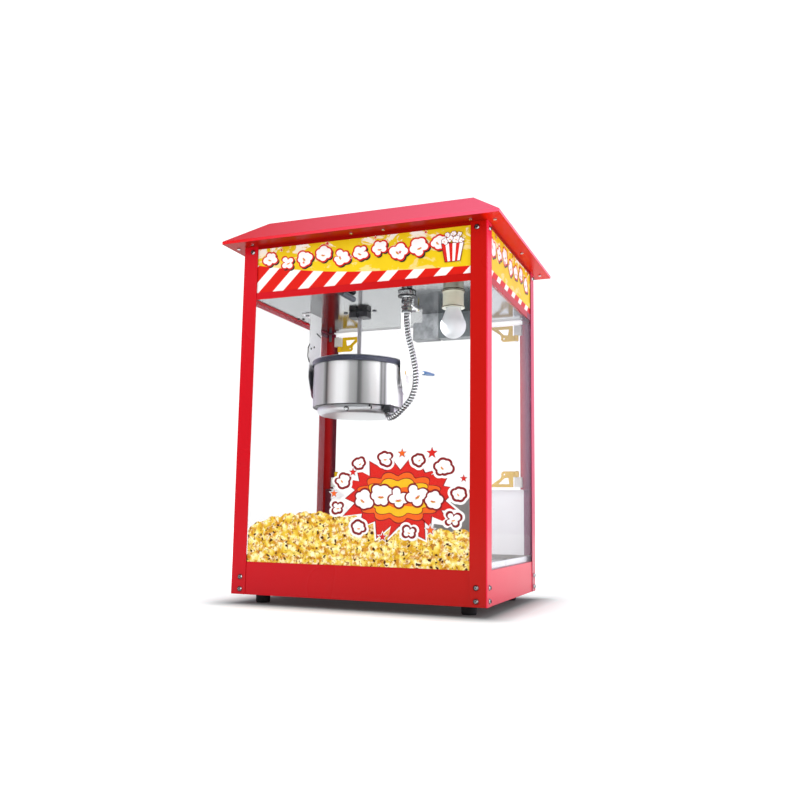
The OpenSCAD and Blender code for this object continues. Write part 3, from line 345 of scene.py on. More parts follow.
def kettle_steel():
    """Spun and polished shell: fine rings round it, and soft upright bands of tone round it, a painted reflection."""
    m = Mat("spun_steel", rough=0.22, metal=0.25, Anisotropic=0.4)
    g = m.noise(1.0, 4, 0.7, m.scaled(3, 3, 1400))
    x, y, _ = m.xyz()
    # painted reflection: the tone follows the angle round the shell
    turn = m.math("ARCTAN2", m.math("SUBTRACT", x, KETTLE_AT[0] * MM), m.math("MULTIPLY", y, -1.0))
    stops = [((a + 180) / 360, (b, b, b * 1.015)) for a, b in SHELL_REFLECTION_BANDS]
    band = m.ramp(m.range(turn, -math.pi, math.pi), stops)
    m.color(m.mix(m.range(g, 0.3, 0.7, 0.0, 0.04), band, (0.35, 0.35, 0.36, 1)))
    m.rough(m.range(g, 0.3, 0.7, 0.20, 0.25))
    m.bump(g, 0.02, 0.0002, 0.0006)
    return m.m


def terminal_grey():
    """Scuffed grey housing."""
    m = Mat("terminal_grey", rough=0.42)
    n = m.noise(26, 5, 0.7)
    m.color(m.ramp(n, [(0.36, lin(70, 76, 80)), (0.47, lin(112, 115, 119)), (0.62, lin(144, 147, 150))]))
    m.bump(m.noise(300, 2, 0.5), 0.05, 0.0004, 0.0008)
    return m.m


def shaded_red(name, x0, x1, deep, side):
    """Red enamel that falls to a deep tone of painted shade across the post's inner faces; side: the tone of its outer
    side.
    """
    m = Mat(name, rough=0.3, Coat_Weight=0.05, Specular_IOR_Level=0.25)
    x, y, _ = m.xyz()
    front = m.short_of(y, REAR_POST_BACK, 0.00015)
    inner = m.math("MULTIPLY", front, m.short_of(m.math("ABSOLUTE", x), REAR_POST_SIDE, 0.00015))
    # painted shade: the inner faces fall to the deep tone
    shaded = m.mix(m.range(x, x0, x1), lin(196, 18, 22), deep)
    # the outer side's tone: on the right-hand post a pink painted reflection
    outer = m.mix(front, lin(186, 12, 14), side)
    m.color(m.mix(inner, outer, shaded))
    m.bump(m.noise(700, 2, 0.5), 0.008, 0.0004, 0.0008)
    return m.m


# a deep mauve of painted shade on red
SHADE_MAUVE = lin(140, 52, 92)


def rear_steel():
    """Brushed rear panel: grey in the middle, brighter towards the ends with a painted reflection and a painted glow,
    and a strip of painted shade at each end.
    """
    m = Mat("rear_panel_steel", rough=0.34)
    x = m.xyz()[0]
    off = m.math("ABSOLUTE", x)
    # painted reflection and glow: the panel brightens, loses its metal and glows towards its ends
    bright = m.past(off, PANEL_MIDDLE, 0.0175)
    g = m.noise(1.0, 4, 0.7, m.scaled(4, 4, 1500))
    c = m.mix(bright, (0.42, 0.40, 0.40, 1), (0.98, 0.98, 1, 1))
    c = m.mix(m.range(g, 0.3, 0.7, 0, 0.06), c, (0.15, 0.15, 0.15, 1))
    # painted shade: a strip at each end in the rear posts' shaded tones
    c = m.mix(m.past(x, PANEL_END, 0.00025), c, SHADE_MAUVE)
    m.color(m.mix(m.short_of(x, -PANEL_END, 0.00025), c, lin(110, 16, 40)))
    m.link(m.range(bright, 0, 1, 0.3, 0.05), m.b.inputs["Metallic"])
    m.glow(m.math("MULTIPLY", bright, m.range(off, 0.232, 0.2325, 0.16, 0)))
    m.bump(g, 0.03, 0.0003, 0.0006)
    return m.m


def tone_down(name, stops, z0, z1):
    """Steel whose tone changes between two heights; on the left hanger the tones are painted reflection and shade."""
    m = Mat(name, rough=0.32, Specular_IOR_Level=0.4)
    z = m.math("ADD", m.xyz()[2], m.math("MULTIPLY", m.noise(60, 3, 0.6), 0.008))
    m.color(m.ramp(m.range(z, z0 + 0.004, z1 + 0.004), stops))
    m.bump(m.noise(300, 2, 0.5), 0.03, 0.0003, 0.0006)
    return m.m


CERAMIC, BULB, KETTLE, LIGHT_GREY = ceramic(), frosted(), kettle_steel(), terminal_grey()
# left hanger, by height: a mauve painted reflection low down, a band of painted shade, then grey and a white painted
# reflection above
HANGER_PAINTED_LIGHT = [(0.0, lin(150, 108, 128)), (0.09, lin(140, 100, 120)), (0.12, lin(70, 68, 80)),
                (0.30, lin(96, 96, 104)), (0.36, lin(240, 240, 242))]
EAR_TONES = [(0.0, lin(176, 174, 178)), (0.55, lin(150, 148, 154)), (0.66, lin(58, 60, 76)), (1.0, lin(52, 54, 70))]
LEFT_HANGER = tone_down("left_hanger_steel", HANGER_PAINTED_LIGHT, 0.422, 0.608)
EAR_STEEL = tone_down("ear_steel", EAR_TONES, 0.440, 0.484)
REAR_STEEL = rear_steel()
# rear posts: painted shade on their inner faces; the right one's outer side wears a pink painted reflection
REAR_LEFT_RED = shaded_red("rear_left_enamel", -0.243, -0.232, lin(92, 12, 34), RED)
REAR_RIGHT_RED = shaded_red("rear_right_enamel", 0.228, 0.240, SHADE_MAUVE, lin(204, 42, 78))
DARK_ZINC = metal("dark_zinc", (0.20, 0.20, 0.22, 1), 0.34, (90, 90, 90), 0.05)
PAN_STEEL = metal("pan_steel", (0.66, 0.66, 0.68, 1), 0.40, (4, 4, 1500), 0.02)

LOOKS = {
    "base_skirt": RED_MAT, "post_front_left": RED_MAT, "post_front_right": RED_MAT, "post_rear_left": REAR_LEFT_RED,
    "post_rear_right": REAR_RIGHT_RED, "header_rail": RAIL_MAT, "header_top": HEADER_SHADE_MAT, "control_panel": RED_MAT,
    "roof": ROOF_MAT, "floor_tray": STEEL, "crumb_drawer": STEEL, "rear_panel": REAR_STEEL, "feet": RUBBER,
    "ceiling_plate": MIRROR, "front_glass": GLASS, "left_glass": SIDE_GLASS, "right_glass": SIDE_GLASS,
    "cabinet_screws": ZINC, "roof_screws": ZINC, "ceiling_screws": DARK_ZINC, "hinge_blocks": WHITE, "hinge_pins": ZINC,
    "left_door": ACRYLIC, "right_door": ACRYLIC, "left_door_brackets": YELLOW_PLATE,
    "right_door_brackets": YELLOW_PLATE, "gear_motor": MOTOR, "drive_coupling": BLACK, "lamp_socket": CERAMIC,
    "lamp_bulb": BULB, "control_box": BOX_GREY, "terminal_box": LIGHT_GREY, "ceiling_buffer": DAMPER,
    "switch_frames": BLACK, "light_rocker": SWITCH_RED, "heat_rocker": SWITCH_RED, "motor_rocker": SWITCH_RED,
    "cable_gland": BLACK, "hose_gland": ZINC, "left_hanger": LEFT_HANGER, "right_hanger": HANGER,
    "kettle_shell": KETTLE, "kettle_pot": STEEL, "kettle_rim": DARK_STEEL, "heater_plate": HEATER,
    "kettle_pan": PAN_STEEL, "kettle_ears": EAR_STEEL, "kettle_pivots": BRASS, "lid_bridge": STEEL,
    "lid_front": STEEL, "lid_rear": STEEL, "stirrer": CAST, "dump_handle": HANGER, "handle_grip": BLUE,
    "hose_terminal": BLACK,
}


def wear(node, look):
    node.data.materials.clear()
    node.data.materials.append(look)


# ---------------------------------------------------------------- mesh kit
def add(name, verts, faces, mats, body, smooth=False, face_mat=None):
    """A new piece on a body. face_mat: the place in mats of each face's material."""
    me = bpy.data.meshes.new(name)
    me.from_pydata([tuple(v) for v in verts], [], faces)
    for m in mats if isinstance(mats, (list, tuple)) else [mats]:
        me.materials.append(m)
    if face_mat:
        me.polygons.foreach_set("material_index", face_mat)
    if smooth:
        me.polygons.foreach_set("use_smooth", [True] * len(me.polygons))
    me.update()
    o = bpy.data.objects.new(name, me)
    scene.collection.objects.link(o)
    if body:
        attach(o, body)
    return o


def prism(outline, place, t):
    """Closed prism of a 2-D outline: place(u, v, d) gives the point at depth d."""
    n = len(outline)
    verts = [place(u, v, 0) for u, v in outline] + [place(u, v, t) for u, v in outline]
    faces = [list(range(n)), list(range(2 * n - 1, n - 1, -1))]
    faces += [[(i + 1) % n, i, i + n, (i + 1) % n + n] for i in range(n)]
    return verts, faces


def front_film_outline():
    """Same edge as the printed film's solid: a heap with a lumpy top."""
    half, low, tall, steps, lumps = 224.5, 80.0, 520.0, 208, 13
    pts = [(-half, low), (half, low)]
    for i in range(steps, -1, -1):
        u = i / steps
        z = (low + 0.158 * tall + 0.027 * tall * math.sin(math.radians(u * 300 - 3))
             - 0.035 * tall * math.exp(-12 * u)
             + 5 * abs(math.sin(math.radians(u * 180 * lumps)))
             + 2.5 * abs(math.sin(math.radians(u * 180 * lumps * 2.3 + 40))) - 4)
        pts.append((-half + 2 * half * i / steps, z))
    return pts


def burst_outline():
    """Same edge as the solid of the printed burst."""
    (cx, cy), (rx, ry), spikes, inner = (87, 209), (133, 78), 17, 0.78
    out = []
    for i in range(2 * spikes):
        k, a = inner if i % 2 else 1, i * math.pi / spikes
        out.append((cx + rx * k * math.cos(a), cy + ry * k * math.sin(a)))
    return out


# ---------------------------------------------------------------- printed graphics
def heap_print():
    """Print of popped corn: lumps, cream to amber, with dark specks."""
    m = Mat("heap_print", rough=0.5, Specular_IOR_Level=0.15)
    # coordinates pushed about a little, so that the lumps aren't round
    off = m.node("VectorMath")
    off.operation = "MULTIPLY_ADD"
    m.link(m.noise(70, 3, out="Color"), off.inputs[0])
    off.inputs[1].default_value = (0.014, 0.0, 0.014)
    m.link(m.coord, off.inputs[2])
    v = off.outputs[0]
    lump = m.voronoi(72, v)
    c = m.ramp(lump, [(0.0, lin(252, 243, 200)), (0.34, lin(240, 220, 118)), (0.56, lin(228, 190, 54)),
                      (0.85, lin(200, 142, 28))])
    c = m.mix(m.range(m.noise(150, 3, 0.6, v), 0.51, 0.61, 0, 0.75), c, lin(253, 247, 212))
    c = m.mix(m.range(m.noise(95, 3, 0.6), 0.52, 0.61, 0, 0.85), c, lin(200, 124, 14))
    c = m.mix(m.range(m.noise(170, 2, 0.5), 0.58, 0.66, 0, 0.85), c, lin(150, 84, 16))
    speck = m.voronoi(116, v)
    pick = m.voronoi(116, v, out="Color")
    dark = m.math("MULTIPLY", m.range(speck, 0.25, 0.33, 1, 0), m.range(pick, 0.55, 0.57))
    c = m.mix(dark, c, lin(70, 32, 8))
    m.color(c)
    m.bump(lump, 0.05, 0.0004)
    return m.m


def flat_print(name, rgb, drift=0.06):
    """One ink, with slight drift and a faint dot pattern."""
    m = Mat(name, rough=0.35, Specular_IOR_Level=0.22)
    n = m.noise(60, 4, 0.6)
    dots = m.noise(1500, 1, 0.5)
    c = m.mix(m.range(n, 0.3, 0.7), shade(rgb, 1 - drift), shade(rgb, 1 + drift))
    m.color(m.mix(m.range(dots, 0.45, 0.6, 0, 0.02), c, (1, 1, 1, 1)))
    return m.m


P_WHITE = flat_print("print_white", lin(240, 236, 236), 0.02)
P_RED = flat_print("print_red", lin(206, 18, 4))
P_DEEP = flat_print("print_deep_red", lin(126, 6, 14))
P_ORANGE = flat_print("print_orange", lin(228, 92, 4))
P_YELLOW = flat_print("print_yellow", lin(232, 178, 10))
P_BLACK = flat_print("print_black", lin(40, 30, 28))
HEAP = heap_print()
PRINTS = [P_WHITE, P_RED, P_DEEP, P_ORANGE, P_YELLOW, P_BLACK]
W, R, D, O, Y, K = range(6)    # places in PRINTS
INK_STEP = 0.02


def middle(pts):
    """Mean of the outline's points."""
    return sum(q[0] for q in pts) / len(pts), sum(q[1] for q in pts) / len(pts)


class Print:
    """Flat inks stacked a hair apart in front of a panel. place(u, v, depth) in mm."""

    def __init__(self, place):
        self.place, self.v, self.f, self.m, self.d = place, [], [], [], 0.0

    def shape(self, pts, ink, lift=INK_STEP):
        """A flat patch, filled as a fan round its middle."""
        self.d += lift
        a, n = len(self.v), len(pts)
        self.v += [self.place(u, w, self.d) for u, w in [middle(pts), *pts]]
        self.f += [[a, a + 1 + i, a + 1 + (i + 1) % n] for i in range(n)]
        self.m += [ink] * n

    def make(self, name, body, slot):
        return add(name, self.v, self.f, PRINTS, body, face_mat=self.m)


def star(cx, cy, r):
    """Five-pointed star, one point up."""
    out = []
    for i in range(10):
        k, a = r * (0.42 if i % 2 else 1), math.radians(90 + i * 36)
        out.append((cx + k * math.cos(a), cy + k * math.sin(a)))
    return out


def puff(cx, cy, r, rnd):
    """Outline of a popped kernel: four to six rounded lobes of uneven size."""
    lobes = rnd.choice((4, 5, 5, 6))
    turn = rnd.uniform(0, 6.28)
    lobe = [(turn + (i + rnd.uniform(-0.16, 0.16)) * 2 * math.pi / lobes, rnd.uniform(0.44, 0.66),
             rnd.uniform(0.34, 0.52)) for i in range(lobes)]
    pts, steps, core, squash = [], 40, 0.4, 0.9
    for j in range(steps):
        b = 2 * math.pi * j / steps
        far = core
        for a, out, size in lobe:
            off = out * math.sin(b - a)
            if abs(off) < size:
                far = max(far, out * math.cos(b - a) + math.sqrt(size * size - off * off))
        pts.append((cx + math.cos(b) * far * r, cy + math.sin(b) * far * r * squash))
    return pts


def cloud(cx, cy, w, h, lobes, turn):
    """Scalloped outline round an ellipse."""
    pts, steps = [], lobes * 8
    for j in range(steps):
        b = 2 * math.pi * j / steps
        k = 0.84 + 0.2 * abs(math.cos(lobes * (b + turn) / 2))
        pts.append((cx + w * k * math.cos(b), cy + h * k * math.sin(b)))
    return pts


def grown(pts, g):
    """The outline pushed outwards by about g."""
    cx, cy = middle(pts)
    out = []
    for x, y in pts:
        d = math.hypot(x - cx, y - cy) or 1
        out.append((x + (x - cx) / d * g, y + (y - cy) / d * g))
    return out


def kernel(p, cx, cy, r, seed, rim, line, halo=0.0):
    """One printed popped kernel: halo, outline, white body, and a warm bow across its middle in two tones."""
    rnd = random.Random(seed)
    body = puff(cx, cy, r, rnd)
    if halo:
        p.shape(grown(body, line + halo), W)
    p.shape(grown(body, line), rim)
    p.shape(body, W)
    a = rnd.uniform(3.4, 5.6)
    ux, uy = math.cos(a), math.sin(a)
    far = 0.34
    for k, ink in ((0.80, Y), (0.56, O)):
        bow = [(far * math.cos(t), far * math.sin(t)) for t in (-1.1, -0.6, 0, 0.6, 1.1)]
        bow += [(far * k + 0.10 * (math.cos(t) - 1), 0.26 * math.sin(t)) for t in (0.9, 0, -0.9)]
        p.shape([(cx + r * k * 1.4 * (x * ux - y * uy), cy + r * k * 1.2 * (x * uy + y * ux)) for x, y in bow], ink)


# the burst, in mm: its middle, its spikes and how far their far and near points reach, the layers of cloud inside it
# (ink, width, height, lobes, turn), the row of popped kernels that stands in place of words (from the middle,
# radius), and the kernels and stars round it
BURST_AT, BURST_SPIKES, BURST_FAR, BURST_NEAR = (89, 206), 17, (120, 74), (124, 68)
BURST_CLOUDS = ((D, 85, 46, 13, 0.1), (O, 83, 44, 13, 0.1), (D, 72, 35, 11, 0.4), (Y, 70, 33.5, 11, 0.4),
                (O, 52, 19, 9, 0.2))
BURST_ROW = ((-68, -5, 19), (-34, 4, 22), (0, -2, 22), (34, 3, 21), (68, -4, 18))
BURST_KERNELS = ((-22, 236, 14), (10, 268, 11), (62, 277, 13), (128, 274, 11), (176, 260, 15), (206, 212, 12),
                 (194, 168, 13), (-32, 186, 11), (12, 150, 12), (112, 144, 11))
BURST_STARS = ((-2, 252, 7, R), (96, 286, 8, O), (154, 286, 10, R), (-40, 212, 7, O), (60, 134, 7, R),
               (152, 148, 8, O), (214, 240, 6, R))


def burst_spikes():
    """The burst's uneven points: a far one, then a near one between it and the next."""
    rnd = random.Random(5)
    cx, cy = BURST_AT
    out = []
    for i in range(BURST_SPIKES):
        a = 2 * math.pi * (i + 0.35 * rnd.uniform(-1, 1)) / BURST_SPIKES + 0.2
        far = rnd.uniform(1.0, 1.1) if i % 2 else rnd.uniform(0.86, 0.98)
        out.append((cx + BURST_FAR[0] * far * math.cos(a), cy + BURST_FAR[1] * far * math.sin(a)))
        b = a + math.pi / BURST_SPIKES
        near = rnd.uniform(0.70, 0.76)
        out.append((cx + BURST_NEAR[0] * near * math.cos(b), cy + BURST_NEAR[1] * near * math.sin(b)))
    return out


def front_print():
    """The heap, the white back of the burst, and the burst's inks, on the front glass."""
    y0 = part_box("front_film")[1][1] / MM
    place = lambda u, v, d: Vector((u, y0 - d, v)) * MM
    film, apart = 0.25, 0.004
    v, f = prism(front_film_outline(), place, film)
    heap = add("film_heap", v, f, HEAP, "cabinet")
    # its back stands off the heap's back, so that the two don't flicker where they overlap
    v, f = prism(burst_outline(), lambda u, v, d: place(u, v, d + apart), film - 0.005)
    back = add("film_burst_back", v, f, P_WHITE, "cabinet")
    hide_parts("front_film")
    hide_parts("front_film")
    p = Print(place)
    p.d = film + INK_STEP
    cx, cy = BURST_AT
    spikes = burst_spikes()
    p.shape(grown(spikes, 7.5), W)
    p.shape(grown(spikes, 2.6), D)
    p.shape(spikes, R)
    for ink, *layer in BURST_CLOUDS:
        p.shape(cloud(cx, cy, *layer), ink)
    for i, (dx, dy, r) in enumerate(BURST_ROW):
        kernel(p, cx + dx, cy + dy, r, 40 + i, D, 3.6)
    for i, (x, z, r) in enumerate(BURST_KERNELS):
        kernel(p, x, z, r, 60 + i, D, 4.6, 4.4)
    for x, z, r, ink in BURST_STARS:
        p.shape(star(x, z, r + 4.6), W)
        p.shape(star(x, z, r + 1.6), D)
        p.shape(star(x, z, r), ink)
    p.make("film_burst_art", "cabinet", "print_film")


STRIPE_PITCH, STRIPE_FILL = 0.057, 0.575
# the stripe's upper edge, which falls towards the right: share of the way along, height in metres
STRIPE_TOP = ((0.0, 0.672), (0.30, 0.6465), (0.62, 0.634), (1.0, 0.628))


def sign_ground():
    """Yellow ground with worn white flecks, and a slanted candy stripe below a sloping line."""
    m = Mat("sign_ground", rough=0.4, Specular_IOR_Level=0.16)
    x, y, z = m.xyz()
    along = m.math("ADD", x, y)
    worn = m.noise(16, 6, 0.62, m.scaled(1.0, 1.0, 1.7), 1.2)
    fleck = m.math("MULTIPLY", m.range(worn, 0.54, 0.575), m.range(z, 0.672, 0.706, 0.25, 1))
    yellow = m.mix(m.range(m.noise(9, 4, 0.6), 0.3, 0.7), lin(216, 178, 8), lin(232, 198, 24))
    ground = m.mix(fleck, yellow, lin(246, 243, 238))
    turn = m.math("FRACT", m.math("DIVIDE", m.math("SUBTRACT", along, z), STRIPE_PITCH))
    stripe = m.mix(m.past(turn, STRIPE_FILL, 0.005), lin(208, 20, 6), lin(236, 230, 228))
    top = m.node("FloatCurve")
    curve = top.mapping.curves[0]
    for end, at in ((0, STRIPE_TOP[0]), (-1, STRIPE_TOP[1])):
        curve.points[end].location = at
    for at in STRIPE_TOP[2:]:
        curve.points.new(*at)
    curve.points[0].location = STRIPE_TOP[0]
    top.mapping.update()
    m.link(m.range(along, -0.416, 0.064), top.inputs["Value"])
    below = m.past(m.math("SUBTRACT", top.outputs[0], z), 0.0, 0.0006)
    m.color(m.mix(below, ground, stripe))
    m.bump(m.noise(300, 2, 0.5), 0.02, 0.0003, 0.0005)
    return m.m


def tub(p, mid):
    """A striped tub heaped with popped kernels. mid: its middle along the sign."""
    low, high, narrow, wide, stripes = 640, 674, 14, 21, 6
    p.shape([(mid - narrow - 1.4, low - 1.4), (mid + narrow + 1.4, low - 1.4), (mid + wide + 1.6, high + 1.4),
             (mid - wide - 1.6, high + 1.4)], D)
    for i in range(stripes):
        a, b = i / stripes * 2 - 1, (i + 1) / stripes * 2 - 1
        p.shape([(mid + narrow * a, low), (mid + narrow * b, low), (mid + wide * b, high), (mid + wide * a, high)],
                W if i % 2 else R, 0.004)
    for i, (du, dv, r) in enumerate(((-15, 5, 7), (-4, 9, 8), (8, 7, 8), (17, 4, 6), (2, 18, 6), (-10, 17, 5),
                                     (14, 16, 5))):
        kernel(p, mid + du, high + dv, r, 120 + i, D, 1.0)


def sign_art(name, place, half, seed, tub_at=None):
    """Popped kernels tumbling along the sign with their shadows, stars, and a tub where asked: no words.
    half: half of the sign's width, in mm."""
    p = Print(place)
    rnd = random.Random(seed)
    count = int(half / 24)
    for i in range(count):
        u = -half * 0.82 + half * 1.5 * i / (count - 1)
        v = 677 + 6 * math.sin(i * 2.1 + seed) - 4 * i / count
        r = rnd.uniform(14.5, 18.5)
        shadow = grown(puff(u, v, r, random.Random(seed + i)), 2.4)
        p.shape([(a + 3.2, b - 3.4) for a, b in shadow], K)
        kernel(p, u, v, r, seed + i, R, 3.4)
    for i in range(count - 2):
        u = -half * 0.74 + half * 1.5 * i / (count - 3) + 6
        v = 700 - 34 * (i % 2) + rnd.uniform(-3, 3)
        r = rnd.uniform(3.6, 5.4)
        p.shape(star(u, v, r + 1.0), W)
        p.shape(star(u, v, r), O if i % 3 == 1 else R)
    if tub_at is not None:
        tub(p, tub_at)
    p.make(name, "cabinet", "sign_print")


def signs():
    ground = sign_ground()
    for name in ("sign_front", "sign_left", "sign_right"):
        wear(NODES[name], ground)
    off = 0.05
    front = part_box("sign_front")[0][1] / MM - off
    left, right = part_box("sign_left")[0][0] / MM - off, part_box("sign_right")[1][0] / MM + off
    sign_art("sign_front_art", lambda u, v, d: Vector((u, front - d, v)) * MM, 240, 90, 190)
    sign_art("sign_right_art", lambda u, v, d: Vector((right + d, u, v)) * MM, 176, 230)
    sign_art("sign_left_art", lambda u, v, d: Vector((left - d, -u, v)) * MM, 176, 260)


# ---------------------------------------------------------------- conduit
def route(points, steps):
    """Smooth curve through the points, with steps between each two."""
    out = []
    n = len(points) - 1
    for i in range(n):
        a, b, c, d = (Vector(points[j]) for j in (max(i - 1, 0), i, i + 1, min(i + 2, n)))
        for k in range(steps):
            t = k / steps
            out.append(0.5 * ((2 * b) + (c - a) * t + (2 * a - 5 * b + 4 * c - d) * t * t
                              + (3 * b - a - 3 * c + d) * t ** 3))
    out.append(Vector(points[-1]))
    return out


def resample(path, step):
    """Even spacing along a path."""
    out, acc = [path[0].copy()], 0.0
    for a, b in zip(path, path[1:]):
        d = (b - a).length
        while acc + d >= step:
            a = a + (b - a) * ((step - acc) / d)
            d = (b - a).length
            out.append(a.copy())
            acc = 0.0
        acc += d
    out.append(path[-1].copy())
    return out


def sweep(path, radius, sides, helix=0.0, pitch=1.0):
    """Tube with an optional rolled rib that climbs round it, as in stripwound conduit."""
    verts, faces = [], []
    ref = Vector((0, 1, 0))
    s = 0.0
    for i, p in enumerate(path):
        t = (path[min(i + 1, len(path) - 1)] - path[max(i - 1, 0)]).normalized()
        ref = (ref - t * ref.dot(t)).normalized()
        other = t.cross(ref)
        if i:
            s += (p - path[i - 1]).length
        for k in range(sides):
            a = 2 * math.pi * k / sides
            w = (s / pitch - k / sides) % 1.0
            r = radius + helix * (1 - (2 * w - 1) ** 4) - helix * 0.5
            verts.append(p + (ref * math.cos(a) + other * math.sin(a)) * r)
    for i in range(len(path) - 1):
        for k in range(sides):
            a, b = i * sides + k, i * sides + (k + 1) % sides
            faces.append([a, b, b + sides, a + sides])
    faces.append(list(range(sides - 1, -1, -1)))
    faces.append(list(range((len(path) - 1) * sides, len(path) * sides)))
    return verts, faces


# the hose's route in mm, as in part.scad
HOSE = [(70, -111, 570), (70, -111, 552), (73, -108, 522), (79, -102, 492), (83, -96, 464), (83, -91, 438),
        (79, -88, 418), (70, -85, 400), (52, -80, 383), (33, -72, 371), (16, -62, 368), (8, -50, 376)]
HOSE_RADIUS, HOSE_RIB, HOSE_PITCH, HOSE_SIDES = 5.3, 1.5, 6.0, 20
GROOVE = 0.18    # share of a turn that is groove, at each of its two ends


def conduit():
    """Stripwound steel conduit: bright ridges with grooves that climb round it, painted dark as shade."""
    path = [p * MM for p in resample(route(HOSE, 24), 0.55)]
    pitch = HOSE_PITCH * MM
    v, f = sweep(path, HOSE_RADIUS * MM, HOSE_SIDES, HOSE_RIB * MM, pitch)
    ridge = metal("conduit_ridge", (0.84, 0.85, 0.87, 1), 0.25, (200, 200, 200), 0.05, 0)
    # the grooves' near-black is painted shade in the recesses
    groove = plastic("conduit_groove_shade", lin(28, 28, 32), 0.6, 200, 0.05, 0)
    face_mat, run = [], 0.0
    for a, b in zip(path, path[1:]):
        step = (b - a).length
        for k in range(HOSE_SIDES):
            turn = ((run + step / 2) / pitch - (k + 0.5) / HOSE_SIDES) % 1.0
            face_mat.append(1 if turn < GROOVE or turn > 1 - GROOVE else 0)
        run += step
    face_mat += [0, 0]    # the two end caps
    hose = add("conduit_hose", v, f, [ridge, groove], None, smooth=True, face_mat=face_mat)
    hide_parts("kettle_hose")
    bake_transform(hose)


# ---------------------------------------------------------------- small fittings
class Fittings:
    """Small turned parts gathered in one mesh. Sizes in mm."""

    def __init__(self):
        self.v, self.f = [], []

    def turned(self, at, axis, loop, sides=16):
        """loop: (radius, distance along the axis) round a closed section."""
        axis = Vector(axis).normalized()
        u = axis.orthogonal().normalized()
        w = axis.cross(u)
        a, k = len(self.v), len(loop)
        for i in range(sides):
            t = 2 * math.pi * i / sides
            side = u * math.cos(t) + w * math.sin(t)
            self.v += [(Vector(at) + side * r + axis * h) * MM for r, h in loop]
        for i in range(sides):
            b, c = a + i * k, a + (i + 1) % sides * k
            self.f += [[b + j, c + j, c + (j + 1) % k, b + (j + 1) % k] for j in range(k)]

    def peg(self, at, axis, r, h, round_off=0.4):
        self.turned(at, axis, [(0.05, 0), (r, 0), (r, h - round_off), (r - round_off, h), (0.05, h)], 12)

    def ring(self, at, r0, r1, z0, z1, axis=(0, 0, 1)):
        self.turned(at, axis, [(r0, z0), (r1, z0), (r1, z1), (r0, z1)], 32)

    def bar(self, lo, hi):
        a = len(self.v)
        self.v += [Vector((x, y, z)) * MM for x in (lo[0], hi[0]) for y in (lo[1], hi[1]) for z in (lo[2], hi[2])]
        self.f += [[a + i for i in q] for q in ((0, 1, 3, 2), (4, 6, 7, 5), (0, 4, 5, 1), (2, 3, 7, 6), (0, 2, 6, 4),
                                                (1, 5, 7, 3))]

    def tube(self, points, r):
        v, f = sweep([Vector(q) * MM for q in points], r * MM, 8)
        a = len(self.v)
        self.v += v
        self.f += [[a + i for i in q] for q in f]

    def make(self, name, mat, body, slot):
        return add(name, self.v, self.f, mat, body)


def islands(obj):
    """Boxes of the separate solids in one mesh, in mm."""
    me = obj.data
    root = list(range(len(me.vertices)))

    def find(i):
        while root[i] != i:
            root[i] = root[root[i]]
            i = root[i]
        return i
    for e in me.edges:
        a, b = (find(i) for i in e.vertices)
        root[a] = b
    out = {}
    for i, v in enumerate(me.vertices):
        lo, hi = out.setdefault(find(i), ([1e9] * 3, [-1e9] * 3))
        for k in range(3):
            lo[k], hi[k] = min(lo[k], v.co[k] / MM), max(hi[k], v.co[k] / MM)
    return list(out.values())


# places in mm
HOSE_AT, LAMP_AT = (70, -111, 0), (163, -101, 0)
PAN_SCREWS, PAN_SCREW_AXIS = ((-69.7, -83.4, 387.3), (-26.8, -63.7, 390.9)), (0.1, -1, -0.45)
HANGER_SCREWS = ((4.1, 462.9), (8.5, 440.1))


def kettle_fittings(dark):
    """Two domed screws on the pan, with a ring of painted shade round each, and a ring of painted shade under the
    shell.
    """
    screws, shade_rings = Fittings(), Fittings()
    # painted shade under the shell's overhang
    shade_rings.ring(KETTLE_AT, 86.3, 95.4, 395.9, 396.9)
    for at in PAN_SCREWS:
        screws.peg(at, PAN_SCREW_AXIS, 4.2, 4.5, 1.4)
        # painted shade round each screw
        shade_rings.ring(at, 4.2, 5.4, 0.2, 1.0, PAN_SCREW_AXIS)
    screws.make("pan_screws", ZINC, "kettle", "zinc")
    shade_rings.make("kettle_shade_ring", dark, "kettle", "dark_steel")


def ceiling_fittings(dark):
    """The hose's ceiling fitting: a black washer, and dark rings and bars of painted shade for its grooves and slots.
    The hangers: screws, a link, a spring clip.
    """
    c = Fittings()
    c.ring(HOSE_AT, 10.6, 18.2, 601.6, 603.9)
    # painted shade: dark rings in the grooves, and dark bars in the slots below
    for r, z in ((9.7, 598.6), (10.6, 590), (11.2, 580.2), (10.4, 571.2)):
        c.ring(HOSE_AT, r - 1.6, r + 0.2, z - 0.9, z + 0.9)
    for a in range(0, 360, 60):
        x = HOSE_AT[0] + 10.4 * math.cos(math.radians(a))
        y = HOSE_AT[1] + 10.4 * math.sin(math.radians(a))
        c.bar((x - 0.9, y - 0.9, 592), (x + 0.9, y + 0.9, 597))
    for y, z in ((-20, 529.8), (-6.2, 535.5)):
        c.peg((-188, y, z), (1, 0, 0), 2.3, 1.0)
    c.tube([(-186.9, 4, 567.8), (-186.9, 23, 562.6)], 1.1)
    c.tube([(-189.2, -24, 540), (-190, -29.5, 531), (-190, -30.5, 511), (-189.2, -24, 499)], 1.2)
    for y, z in HANGER_SCREWS:
        c.peg((24, y, z), (-1, 0, 0), 2.0, 0.8)
    for x, y in ((-243, 19), (-232, 22)):
        c.peg((x, y, 608), (0, 0, -1), 3.0, 2.0)
    c.make("ceiling_fittings", dark, "cabinet", "black_plastic")


